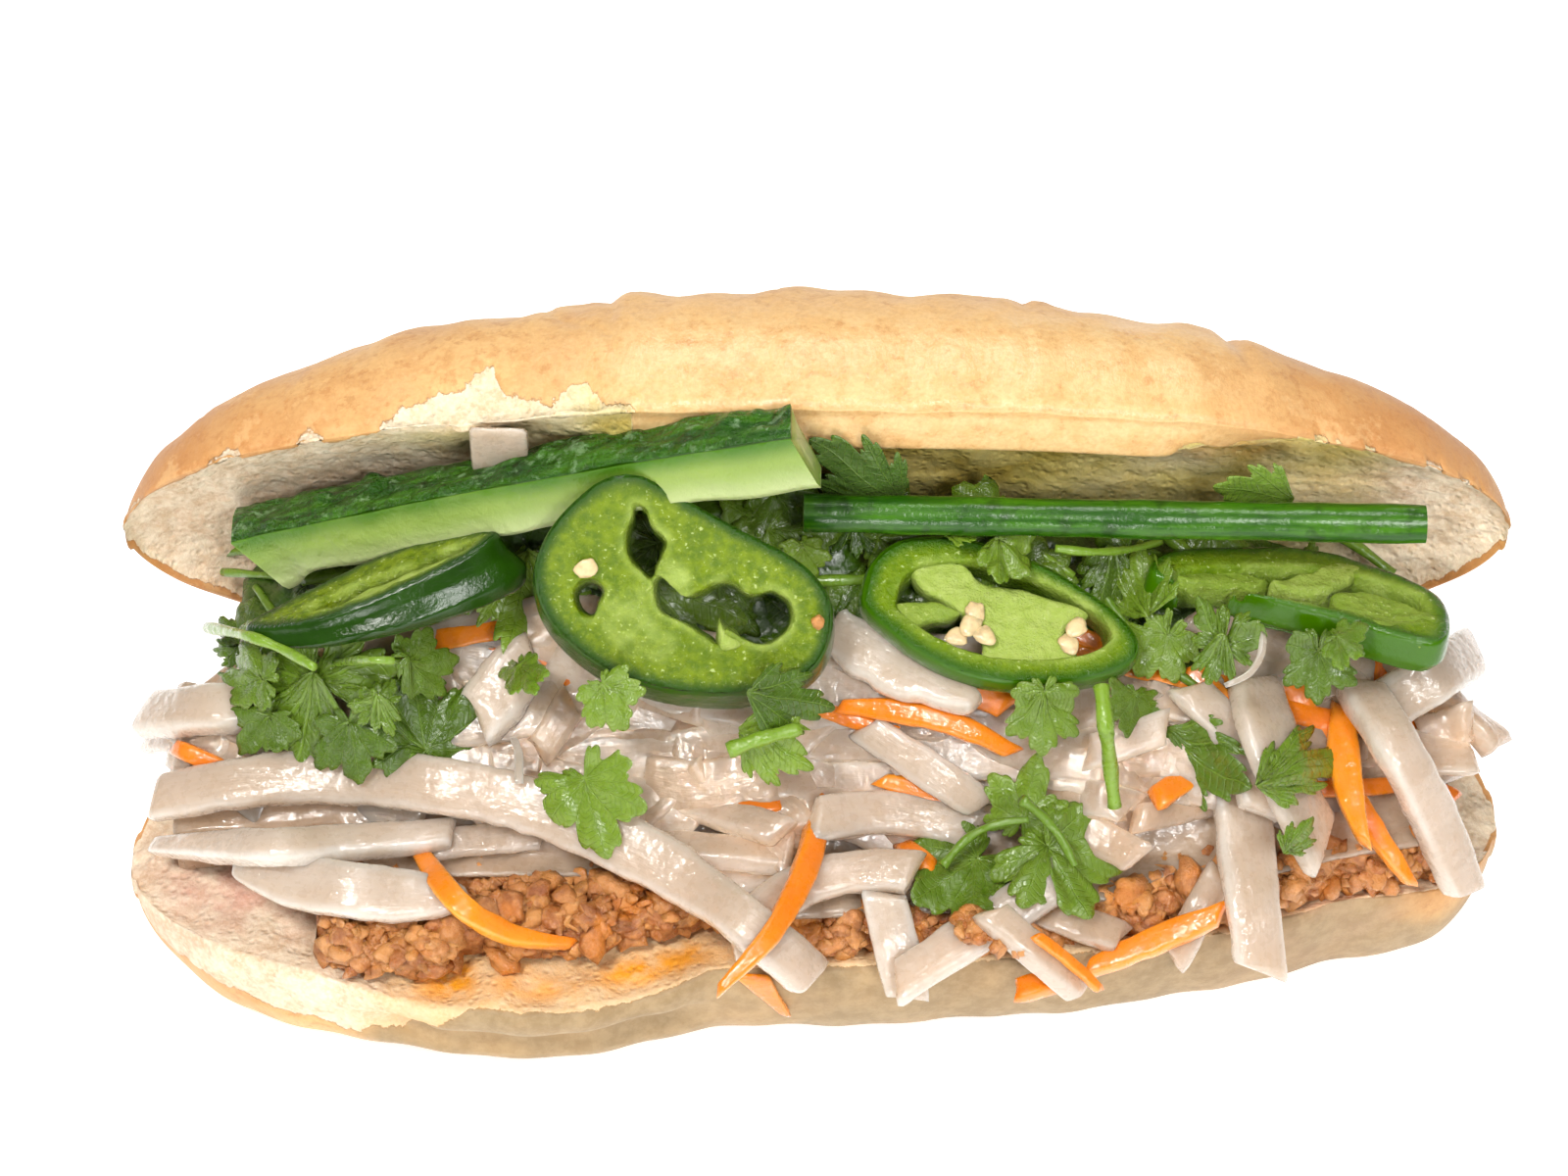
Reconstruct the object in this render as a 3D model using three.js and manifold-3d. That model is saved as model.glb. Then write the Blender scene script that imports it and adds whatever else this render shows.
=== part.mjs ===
// A banh mi: a short crusty roll slit along one side and opened like a book, with shredded pork,
// pickled daikon and carrot, cucumber spears, jalapeno slices and cilantro piled between the halves.
// Millimetres. The origin is the middle of the flat underside, +X runs along the roll, +Y towards the uncut
// side that works as the hinge, and +Z is up.
import * as THREE from "three";
import Module from "manifold-3d";

const wasm = await Module();
wasm.setup();

// ---------------------------------------------------------------- driving dimensions
const ROLL_LENGTH = 212;
const ROLL_WIDTH = 76;
const CUT_HEIGHT = 22; // the slit's height above the underside
const DOME_HEIGHT = 34.5; // the top half, from the slit to its crown
const DOME_FALL = { left: 2.4, right: 1.75 }; // how late the dome falls off towards each tip
const BASE_SHARE = 0.74; // the flat underside's width as a share of the roll's
const HINGE_Y = 33;
const OPEN_ANGLE = THREE.MathUtils.degToRad(78); // how far the top half is turned back
const BOTTOM_SHIFT = -2; // the bottom half sits a little forward of the hinge line,
const BOTTOM_YAW = 4; // and its right end lies this much further back than its middle
// Where the bottom half's front edge is torn off.
const TORN_BACK = { depth: 7, from: -42, whole: -14, until: 76, to: 104 };
const CUT_DISH = 3.5; // the soft crumb sinks this much in the bottom half
const FACE_DISH = 5.5; // and this much in the top half
const HALF_LENGTH = ROLL_LENGTH / 2;
const PLAN_FULLNESS = 2.6; // how blunt the tips are, seen from above
const END_FULLNESS = 5; // and seen from the side
const FOOT = { rise: 10, from: 88, reach: 18 }; // the underside curves up towards the tips
const CREASE_WIDTH = 1.7;

const PORK_TOP = 27;
const PORK_LEFT = -76;
const PORK_RIGHT = 98;
const PILE_RISE = 39; // how far the filling climbs above the pork, against the top half
const PILE_FRONT = -18; // where it starts to climb
const PILE_DEPTH = 41; // and the depth over which it does
const PICKLE_RISE = 18; // the pickles' share of that climb; the herbs have the rest
const HERB_FRONT = 1.5;
const CORE_SINK = 1.2; // the cores lie this much under the pieces on them
const GAP = 0.7; // clearance under a piece that rests on others
const CUT_CLEARANCE = 0.25; // clearance round a piece that dents another
const CELL = 1; // the height map's step
const LIMPNESS = 0.4; // how far a strip sinks into the hollows that it spans
const DROOP = 0.05; // how fast a free end bends down, per millimetre

// The filling is laid out on a sheet that leans back over the roll's mouth, as one looks into it, and
// each piece is put down on the pile along the line from the eye through its place on the sheet.
const SHEET_LIFT = THREE.MathUtils.degToRad(50);
const SHEET_MIDDLE = new THREE.Vector3(-5, 13.6, 56.5);
const EYE_DISTANCE = 700;
const TO_EYE = new THREE.Vector3(0, -Math.cos(SHEET_LIFT), Math.sin(SHEET_LIFT));
const SHEET_UP = new THREE.Vector3(0, Math.sin(SHEET_LIFT), Math.cos(SHEET_LIFT));
const EYE = SHEET_MIDDLE.clone().addScaledVector(TO_EYE, EYE_DISTANCE);

// ---------------------------------------------------------------- small tools
const { clamp, lerp, smoothstep } = THREE.MathUtils;

function seeded(seed) {
  let state = seed;
  return () => {
    state = (state * 1664525 + 1013904223) % 4294967296;
    return state / 4294967296;
  };
}

// A smooth wobble between -1 and 1 that never repeats within the part.
function wobble(x, y, seed = 0) {
  return (
    (Math.sin(x * 0.21 + seed * 1.7) * Math.cos(y * 0.27 - seed) +
      Math.sin(x * 0.53 + y * 0.37 + seed * 2.3) * 0.6) /
    1.6
  );
}

function solidFrom(points, triangles) {
  const make = (tris) =>
    new wasm.Manifold(
      new wasm.Mesh({
        numProp: 3,
        vertProperties: new Float32Array(points.flat()),
        triVerts: new Uint32Array(tris.flat()),
      }),
    );
  const made = make(triangles);
  return made.volume() > 0 ? made : make(triangles.map(([a, b, c]) => [a, c, b]));
}

// Joins a row of equal rings of points into a closed solid.
function loft(rings) {
  const n = rings[0].length;
  const points = rings.flat();
  const triangles = [];
  for (let i = 0; i + 1 < rings.length; i++)
    for (let j = 0; j < n; j++) {
      const a = i * n + j;
      const b = i * n + ((j + 1) % n);
      triangles.push([a, b, a + n], [b, b + n, a + n]);
    }
  for (const [ring, flip] of [
    [0, true],
    [rings.length - 1, false],
  ]) {
    const middle = points.length;
    const sum = rings[ring].reduce((s, p) => [s[0] + p[0], s[1] + p[1], s[2] + p[2]], [0, 0, 0]);
    points.push(sum.map((v) => v / n));
    for (let j = 0; j < n; j++) {
      const a = ring * n + j;
      const b = ring * n + ((j + 1) % n);
      triangles.push(flip ? [b, a, middle] : [a, b, middle]);
    }
  }
  return solidFrom(points, triangles);
}

function largestBody(solid) {
  const bodies = solid.decompose();
  return bodies.reduce((best, body) => (body.volume() > best.volume() ? body : best));
}

// ---------------------------------------------------------------- the roll
const halfWidth = (x) =>
  (ROLL_WIDTH / 2) * Math.sqrt(Math.max(0, 1 - Math.abs(x / HALF_LENGTH) ** PLAN_FULLNESS));
const heightShare = (x) => Math.sqrt(Math.max(0.02, 1 - Math.abs(x / HALF_LENGTH) ** END_FULLNESS));
const bottomMiddle = (x) => BOTTOM_SHIFT + (BOTTOM_YAW * x) / HALF_LENGTH;

const tornShare = (x) =>
  smoothstep(x, TORN_BACK.from, TORN_BACK.whole) * (1 - smoothstep(x, TORN_BACK.until, TORN_BACK.to));
// Where the share f of the half width lies across the bottom half, from -1 at the front to 1 at the back.
const bottomY = (x, f) =>
  bottomMiddle(x) + f * halfWidth(x) + TORN_BACK.depth * tornShare(x) * Math.max(0, -f);

// Stations along the roll, closer towards the tips and at the creases in the crust.
function stations(count, creases = []) {
  const list = [];
  for (let i = 0; i <= count; i++) {
    const t = (2 * i) / count - 1;
    list.push(HALF_LENGTH * 0.993 * Math.sin((t * Math.PI) / 2) * (0.55 + 0.45 * Math.abs(t)));
  }
  for (const c of creases) list.push(c.x - c.reach, c.x, c.x + c.reach);
  return list
    .sort((a, b) => a - b)
    .filter((x, i, all) => i === 0 || x - all[i - 1] > 1.2);
}

const cutHeightAt = (x) => CUT_HEIGHT * (0.62 + 0.38 * heightShare(x));

// The crumb surface of the bottom half.
function cutFace(x, y) {
  const edge = Math.max(4, 0.96 * (y < bottomMiddle(x) ? bottomMiddle(x) - bottomY(x, -1) : halfWidth(x)));
  const across = clamp((y - bottomMiddle(x)) / edge, -1, 1);
  return cutHeightAt(x) - CUT_DISH * (1 - across ** 4) * heightShare(x);
}

function bottomHalf() {
  const wall = [
    [BASE_SHARE, 0],
    [0.87, 0.12],
    [0.965, 0.36],
    [1.005, 0.66],
    [1, 0.9],
    [0.965, 1],
  ];
  const inside = [0.8, 0.3, -0.3, -0.8];
  const rings = stations(23).map((x) => {
    const top = cutHeightAt(x);
    const foot = FOOT.rise * clamp((Math.abs(x) - FOOT.from) / FOOT.reach, 0, 1) ** 2;
    const side = (sign) =>
      wall.map(([across, up]) => [x, bottomY(x, sign * across) + 0.5 * wobble(x, 9), lerp(foot, top, up)]);
    const crumb = inside.map((f) => {
      const y = bottomY(x, f);
      return [x, y, cutFace(x, y)];
    });
    return [...side(1), ...crumb, ...side(-1).reverse()];
  });
  return loft(rings);
}

// Baking left shallow folds across the dome; the first steps down to the left as well.
const CREASES = [
  { x: -33, reach: 2.6, depth: 1.6, lean: 0.06 },
  { x: 32, reach: 2.4, depth: 1.1, lean: -0.05 },
  { x: 57, reach: 2.6, depth: 1.5, lean: 0.22 },
];
const STEP_DOWN = 1.6; // the dome left of the first fold is this much lower
const LIP = { from: -34, to: 60, fade: 14, width: 10, proud: 2 }; // the rim rolled inwards over the crumb

function domeHeight(x, across) {
  const groove = CREASES.reduce(
    (sum, c) => sum + c.depth * Math.exp(-(((x - c.x - c.lean * across) / CREASE_WIDTH) ** 2)),
    0,
  );
  const step = STEP_DOWN * smoothstep(CREASES[0].x - x, -2, 3);
  const share = Math.sqrt(1 - Math.abs(x / HALF_LENGTH) ** (x < 0 ? DOME_FALL.left : DOME_FALL.right));
  return DOME_HEIGHT * share - groove - step + 0.7 * wobble(x, across, 3);
}

// The soft side of the top half: how far it is sunk at a place across the slit.
function faceDish(x, a) {
  const f = clamp(a / Math.max(3, halfWidth(x) * 0.95), -1, 1);
  const lipShare =
    smoothstep(x, LIP.from - LIP.fade, LIP.from + LIP.fade) *
    (1 - smoothstep(x, LIP.to - LIP.fade, LIP.to + LIP.fade));
  const band = smoothstep(a, halfWidth(x) - LIP.width - 4, halfWidth(x) - LIP.width + 2);
  const dish = FACE_DISH * (1 - Math.abs(f) ** 3) * heightShare(x);
  return dish * (1 - lipShare * band) - LIP.proud * lipShare * band * (1 - f ** 8);
}

// A place in the shut top half, turned back about the hinge.
function opened(x, a, h) {
  const dy = -a - HINGE_Y;
  const [sin, cos] = [Math.sin(OPEN_ANGLE), Math.cos(OPEN_ANGLE)];
  return [x, HINGE_Y + dy * cos + h * sin, CUT_HEIGHT - dy * sin + h * cos];
}

function topHalf() {
  const domeSteps = 11;
  const inside = [0.93, 0.8, 0.62, 0.2, -0.3, -0.8];
  const rings = stations(22, CREASES).map((x) => {
    const half = halfWidth(x) + 0.5 * wobble(x, 4, 1);
    const ring = [];
    for (let i = 0; i <= domeSteps; i++) {
      const turn = (i / domeSteps - 0.5) * Math.PI;
      const across = half * Math.sign(Math.sin(turn)) * Math.abs(Math.sin(turn)) ** 0.9;
      ring.push(opened(x, across, domeHeight(x, across) * Math.abs(Math.cos(turn)) ** 0.78));
    }
    for (const f of inside) ring.push(opened(x, f * half, faceDish(x, f * half)));
    return ring;
  });
  return loft(rings);
}

// ---------------------------------------------------------------- the pile's surface
const endShare = (x) => Math.max(0, 1 - Math.abs(x / 108) ** 3);

function pileTop(x, y, rise = PILE_RISE) {
  const t = (y - PILE_FRONT) / PILE_DEPTH;
  const soft = Math.min(1.05, 0.5 * (t + Math.sqrt(t * t + 0.0144)));
  return PORK_TOP + Math.min(PILE_RISE * endShare(x) * soft, rise * endShare(x));
}

function porkTop(x, y) {
  const loose = 1 - Math.max(smoothstep(y, PILE_FRONT - 5, PILE_FRONT - 1), skirtShare(x));
  return PORK_TOP + loose * (1.4 * wobble(x * 2.2, y * 2.6, 5) + 0.9 * wobble(x * 5.1, y * 4.7, 2));
}

const porkSetBack = (x) => 6 * smoothstep(x, -62, -50) * (1 - smoothstep(x, -18, -6));
const porkFront = (x) => bottomY(x, -0.86) + porkSetBack(x) + 1.2 * wobble(x * 2.5, 3, 4);
const onPork = (x, y) => x > PORK_LEFT && x < PORK_RIGHT && y > porkFront(x);

// ---------------------------------------------------------------- laying pieces on the pile
// A place on the sheet is [x, v]: along the roll, and up the sheet from its middle.
function sightLine([x, v]) {
  const through = SHEET_MIDDLE.clone().addScaledVector(SHEET_UP, v);
  through.x = x;
  return through.sub(EYE);
}

function alongSight(place, height) {
  const ray = sightLine(place);
  const t = (height - EYE.z) / ray.z;
  return [EYE.x + ray.x * t, EYE.y + ray.y * t, height];
}

function alongSightToDepth(place, y) {
  const ray = sightLine(place);
  const t = (y - EYE.y) / ray.y;
  return [EYE.x + ray.x * t, y, EYE.z + ray.z * t];
}

function onPile(place, lift) {
  let point = alongSight(place, 120);
  for (let z = 120; z > 10; z -= 0.25) {
    point = alongSight(place, z);
    if (z <= pileTop(point[0], point[1]) + lift) break;
  }
  return point;
}

const MAP = { x: -120, y: -60, nx: 240 / CELL, ny: 120 / CELL };
const heights = new Float32Array(MAP.nx * MAP.ny).fill(-60);
const owners = new Array(MAP.nx * MAP.ny).fill("");

function cellOf(x, y) {
  const i = clamp(Math.floor((x - MAP.x) / CELL), 0, MAP.nx - 1);
  const j = clamp(Math.floor((y - MAP.y) / CELL), 0, MAP.ny - 1);
  return j * MAP.nx + i;
}

const heightAt = (x, y) => heights[cellOf(x, y)];

// The same, averaged over a patch `reach` to each side, without the places that carry nothing.
function softHeightAt(x, y, reach) {
  let [sum, count] = [0, 0];
  for (const dx of [-reach, 0, reach])
    for (const dy of [-reach, 0, reach]) {
      const z = heightAt(x + dx, y + dy);
      if (z < 0) continue;
      sum += z;
      count += 1;
    }
  return count ? sum / count : -60;
}

function raise(x, y, z, owner) {
  const cell = cellOf(x, y);
  if (z <= heights[cell]) return;
  heights[cell] = z;
  owners[cell] = owner;
}

function startMap() {
  for (let j = 0; j < MAP.ny; j++)
    for (let i = 0; i < MAP.nx; i++) {
      const x = MAP.x + (i + 0.5) * CELL;
      const y = MAP.y + (j + 0.5) * CELL;
      if (y > bottomY(x, -1) && y < bottomY(x, 1)) raise(x, y, cutFace(x, y), "bread");
      if (onPork(x, y)) raise(x, y, porkTop(x, y), "pork");
      if (Math.abs(x) < 99 && y > pickleFront(x) && y < 34) {
        raise(x, y, pickleTop(x, y), "pickles");
        if (y > HERB_FRONT && pileTop(x, y) > pileTop(x, y, PICKLE_RISE) + 1)
          raise(x, y, pileTop(x, y) - CORE_SINK, "herbs");
      }
    }
}

// How high the underside of a piece of the named node may lie over a place: sunk into its own node,
// clear of others.
function support(x, y, owner, sink) {
  const cell = cellOf(x, y);
  return heights[cell] + (owners[cell] === owner ? -sink : GAP);
}

// The rest heights of a limp stick over a row of floor heights `apart` from each other: it spans from
// one high place to the next, sinks part of the way into the hollows between them, and droops where it
// hangs free.
function restOn(floor, apart) {
  const held = floor.map((z, i) => [i, z]).filter(([, z]) => z > 0);
  const [first, last] = [held[0][0], held.at(-1)[0]];
  const hull = [];
  for (const point of held) {
    while (hull.length > 1) {
      const [[i, a], [j, b]] = hull.slice(-2);
      if ((b - a) * (point[0] - i) > (point[1] - a) * (j - i)) break;
      hull.pop();
    }
    hull.push(point);
  }
  const rest = floor.map((_, i) => {
    const k = Math.max(1, hull.findIndex(([j]) => j >= i));
    if (hull.length === 1) return hull[0][1];
    const [[i0, a], [i1, b]] = [hull[k - 1], hull[k]];
    return lerp(a, b, (i - i0) / (i1 - i0));
  });
  const near = (i, list) => list[clamp(i, first, last)];
  let soft = floor;
  for (let k = 0; k < 3; k++)
    soft = soft.map((_, i) => (near(i - 1, soft) + near(i, soft) + near(i + 1, soft)) / 3);
  for (let i = first; i <= last; i++)
    rest[i] = Math.max(floor[i], lerp(rest[i], Math.max(0, soft[i]), LIMPNESS));
  for (const [start, end, way] of [
    [last, floor.length, 1],
    [first, -1, -1],
  ]) {
    const inner = rest[clamp(start - way, first, last)];
    let slope = clamp((rest[start] - inner) / apart, -0.5, 0.2);
    for (let i = start + way; i !== end; i += way) {
      slope = Math.max(-1.1, slope - DROOP * apart);
      rest[i] = rest[i - way] + slope * apart;
    }
  }
  return rest;
}

const CORNERS = [
  [1, 1],
  [-1, 1],
  [-1, -1],
  [1, -1],
];

// How far forward the wall of the lower half stands at a height.
const wallY = (x, z) => {
  const up = clamp(z / cutHeightAt(x) / 0.66, 0, 1);
  return bottomY(x, -(1.005 - 0.265 * (1 - up) ** 3.4));
};

// The lowest point on the line of sight, from a height up, that is clear of that wall.
function clearOfWall(place, from, apart) {
  let point = alongSight(place, from);
  for (let z = from; point[2] < cutHeightAt(point[0]) + apart; z += 0.5) {
    point = alongSight(place, z);
    if (point[1] < wallY(point[0], z) - apart) break;
  }
  return point;
}

// A strip laid from one place on the sheet to another, sagging between the things that carry it.
function layStrip({ from, to, bow = 0, width, thick, taper = 0, owner, sink = 0, step = 5 }) {
  const flat = [to[0] - from[0], to[1] - from[1]];
  const length = Math.hypot(...flat);
  const count = Math.max(4, Math.round(length / step) + 1);
  const places = [];
  for (let i = 0; i < count; i++) {
    const t = i / (count - 1);
    const out = (4 * bow * t * (1 - t)) / length;
    places.push([from[0] + flat[0] * t - flat[1] * out, from[1] + flat[1] * t + flat[0] * out]);
  }
  let spine = places.map((place) => onPile(place, thick));
  let lean = [];
  for (let pass = 0; pass < 3; pass++) {
    const sides = spine.map((_, i) => {
      const a = spine[Math.max(0, i - 1)];
      const b = spine[Math.min(count - 1, i + 1)];
      const d = Math.hypot(b[0] - a[0], b[1] - a[1]);
      return [-(b[1] - a[1]) / d, (b[0] - a[0]) / d];
    });
    lean = spine.map(([x, y], i) => {
      const reach = width * 0.45;
      const [sx, sy] = sides[i];
      const far = softHeightAt(x + sx * reach, y + sy * reach, 2);
      const near = softHeightAt(x - sx * reach, y - sy * reach, 2);
      return Math.min(far, near) < 0 ? 0 : clamp((far - near) / (2 * reach), -0.85, 0.85);
    });
    for (let k = 0; k < 3; k++)
      lean = lean.map((m, i) => (lean[Math.max(0, i - 1)] + m + lean[Math.min(count - 1, i + 1)]) / 3);
    const floor = spine.map(([x, y], i) => {
      let most = -60;
      for (let k = -3; k <= 3; k++) {
        const off = (k / 3) * width * 0.5;
        const z = support(x + sides[i][0] * off, y + sides[i][1] * off, owner, sink) - lean[i] * off;
        most = Math.max(most, z);
      }
      return most;
    });
    const rest = restOn(floor, length / (count - 1));
    spine = places.map((place, i) => clearOfWall(place, rest[i] + thick / 2, thick / 2 + 0.3));
    spine.sides = sides;
  }
  const frames = spine.map((point, i) => {
    const a = new THREE.Vector3(...spine[Math.max(0, i - 1)]);
    const b = new THREE.Vector3(...spine[Math.min(count - 1, i + 1)]);
    const along = b.sub(a).normalize();
    const across = new THREE.Vector3(spine.sides[i][0], spine.sides[i][1], lean[i]);
    across.addScaledVector(along, -across.dot(along)).normalize();
    const up = new THREE.Vector3().crossVectors(along, across);
    if (up.z < 0) up.negate();
    const t = i / (count - 1);
    const narrow = 1 - taper * (0.75 * t ** 2);
    return { middle: new THREE.Vector3(...point), along, across, up, half: (width / 2) * narrow };
  });
  for (let i = 0; i + 1 < count; i++)
    for (let s = 0; s < 1; s += 0.12)
      for (let k = -1; k <= 1; k += 0.12) {
        const f = frames[i];
        const g = frames[i + 1];
        const p = f.middle.clone().addScaledVector(f.across, f.half * k).addScaledVector(f.up, thick / 2);
        const q = g.middle.clone().addScaledVector(g.across, g.half * k).addScaledVector(g.up, thick / 2);
        p.lerp(q, s);
        raise(p.x, p.y, p.z, owner);
      }
  return (grow = 0) =>
    loft(
      frames.map((f, i) => {
        const end = i === 0 ? -grow : i === count - 1 ? grow : 0;
        const middle = f.middle.clone().addScaledVector(f.along, end);
        return CORNERS.map(([s, t]) =>
          middle
            .clone()
            .addScaledVector(f.across, s * (f.half + grow))
            .addScaledVector(f.up, t * (thick / 2 + grow))
            .toArray(),
        );
      }),
    );
}

// The plane that a flat thing takes over a patch of the pile: [height at its middle, slope along X,
// slope along Y].
function patchPlane(middle, samples, steepest, cover) {
  let [sxx, sxy, syy, sxz, syz] = [0, 0, 0, 0, 0];
  const known = samples
    .map(([x, y]) => [x - middle[0], y - middle[1], softHeightAt(x, y, 2)])
    .filter((p) => p[2] > 0);
  const sum = known.reduce((s, p) => [s[0] + p[0], s[1] + p[1], s[2] + p[2]], [0, 0, 0]);
  const mean = sum.map((v) => v / known.length);
  for (const [x, y, z] of known) {
    const [dx, dy, dz] = [x - mean[0], y - mean[1], z - mean[2]];
    sxx += dx * dx;
    sxy += dx * dy;
    syy += dy * dy;
    sxz += dx * dz;
    syz += dy * dz;
  }
  const det = sxx * syy - sxy * sxy + 1;
  const alongX = clamp((sxz * syy - syz * sxy) / det, -steepest, steepest);
  const alongY = clamp((syz * sxx - sxz * sxy) / det, -steepest, steepest);
  const over = known.map(([x, y, z]) => z - alongX * x - alongY * y).sort((a, b) => a - b);
  return [over[Math.floor(cover * (over.length - 1))], alongX, alongY];
}

function alongSightToPlane(place, middle, [base, alongX, alongY]) {
  const ray = sightLine(place);
  const start = EYE.z - base - alongX * (EYE.x - middle[0]) - alongY * (EYE.y - middle[1]);
  const t = -start / (ray.z - alongX * ray.x - alongY * ray.y);
  return [EYE.x + ray.x * t, EYE.y + ray.y * t, EYE.z + ray.z * t];
}

// The same for the plane of the top half's soft side, `off` in front of it.
function alongSightToFace(place, off) {
  const ray = sightLine(place);
  const [sin, cos] = [Math.sin(OPEN_ANGLE), Math.cos(OPEN_ANGLE)];
  const t = (-off - (EYE.y - HINGE_Y) * sin - (EYE.z - CUT_HEIGHT) * cos) / (ray.y * sin + ray.z * cos);
  return [EYE.x + ray.x * t, EYE.y + ray.y * t, EYE.z + ray.z * t];
}

const LEAF_SPOKES = 12;
const LEAF_GIVE = 1.6; // how far a leaf's edge is pushed up by what lies under it
const LEAF_OUTLINES = {
  lobed: (turn) => 0.6 + 0.4 * Math.abs(Math.cos(1.5 * turn)) ** 0.9 - 0.06 * Math.cos(6 * turn),
  blade: (turn) => 1 / Math.hypot(Math.cos(turn), Math.sin(turn) / 0.42) - 0.04 * Math.cos(6 * turn),
};

// A strip that leans against the top half, behind the cucumber.
function layAgainstFace({ from, to, width, thick, off }) {
  const corners = [
    [from[0] - width / 2, from[1]],
    [from[0] + width / 2, from[1]],
    [to[0] + width / 2, to[1]],
    [to[0] - width / 2, to[1]],
  ];
  return (grow = 0) =>
    loft(
      [off - grow, off + thick + grow].map((away) => corners.map((place) => alongSightToFace(place, away))),
    );
}

// A thin leaf that sinks onto what lies under it.
function layLeaf({ at, size, turn = 0, outline = "lobed", owner, thick = 0.6, sink = 0, onFace = false }) {
  const place = (r, k) => {
    const angle = (2 * Math.PI * k) / LEAF_SPOKES;
    const reach = r * size * LEAF_OUTLINES[outline](angle);
    const way = angle + THREE.MathUtils.degToRad(turn);
    return [at[0] + reach * Math.cos(way), at[1] + reach * Math.sin(way)];
  };
  const rings = [0.5, 1].map((r) => Array.from({ length: LEAF_SPOKES }, (_, k) => place(r, k)));
  const places = [at, ...rings.flat()];
  const middle = onPile(at, 2);
  const plane = patchPlane(middle, places.map((p) => onPile(p, 2)), 1.1, 0.7);
  const up = onFace ? [0, -Math.sin(OPEN_ANGLE), -Math.cos(OPEN_ANGLE)] : [0, 0, 1];
  const under = places.map((p, i) => {
    if (onFace) return alongSightToFace(p, 0.9 + 0.4 * wobble(p[0] * 3, p[1] * 3));
    const flat = alongSightToPlane(p, middle, plane);
    const [x, y, z] = flat[1] < faceY(flat[0], flat[2]) - 2 ? flat : alongSightToFace(p, 2);
    const edge = i > LEAF_SPOKES ? 1 : 0;
    const wave = 0.5 * edge * wobble(x * 4, y * 4, size);
    const over = Math.max(0, support(x, y, owner, sink) - z);
    return [x, y, z + GAP + wave + Math.min(over, LEAF_GIVE)];
  });
  const build = (grow = 0) => {
    const spread = 1 + grow / size;
    const point = ([x, y, z], t) => [
      middle[0] + (x - middle[0]) * (onFace ? 1 : spread) + up[0] * t,
      y + (onFace ? 0 : (y - under[0][1]) * (spread - 1)) + up[1] * t,
      z + up[2] * t,
    ];
    const points = [...under.map((p) => point(p, -grow)), ...under.map((p) => point(p, thick + grow))];
    const n = under.length;
    const triangles = [];
    for (let k = 0; k < LEAF_SPOKES; k++) {
      const next = (k + 1) % LEAF_SPOKES;
      const [a, b] = [1 + k, 1 + next];
      const [c, d] = [a + LEAF_SPOKES, b + LEAF_SPOKES];
      for (const [p, q, r] of [
        [0, a, b],
        [a, c, d],
        [a, d, b],
      ])
        triangles.push([p, r, q], [p + n, q + n, r + n]);
      triangles.push([c, d, c + n], [d, d + n, c + n]);
    }
    return solidFrom(points, triangles);
  };
  if (!onFace)
    for (let k = 0; k < LEAF_SPOKES; k++)
      for (let s = 0; s <= 1; s += 0.1)
        for (let r = 0; r <= 1; r += 0.1) {
          const a = under[1 + LEAF_SPOKES + k];
          const b = under[1 + LEAF_SPOKES + ((k + 1) % LEAF_SPOKES)];
          const m = under[0];
          const mix = (i) => lerp(m[i], lerp(a[i], b[i], s), r);
          raise(mix(0), mix(1), mix(2) + thick, owner);
        }
  return build;
}

const RIM_SPOKES = 8; // sides of a hollow's outline

const UPRIGHT = [0, 0];
const EVEN = [1, 1];

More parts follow.
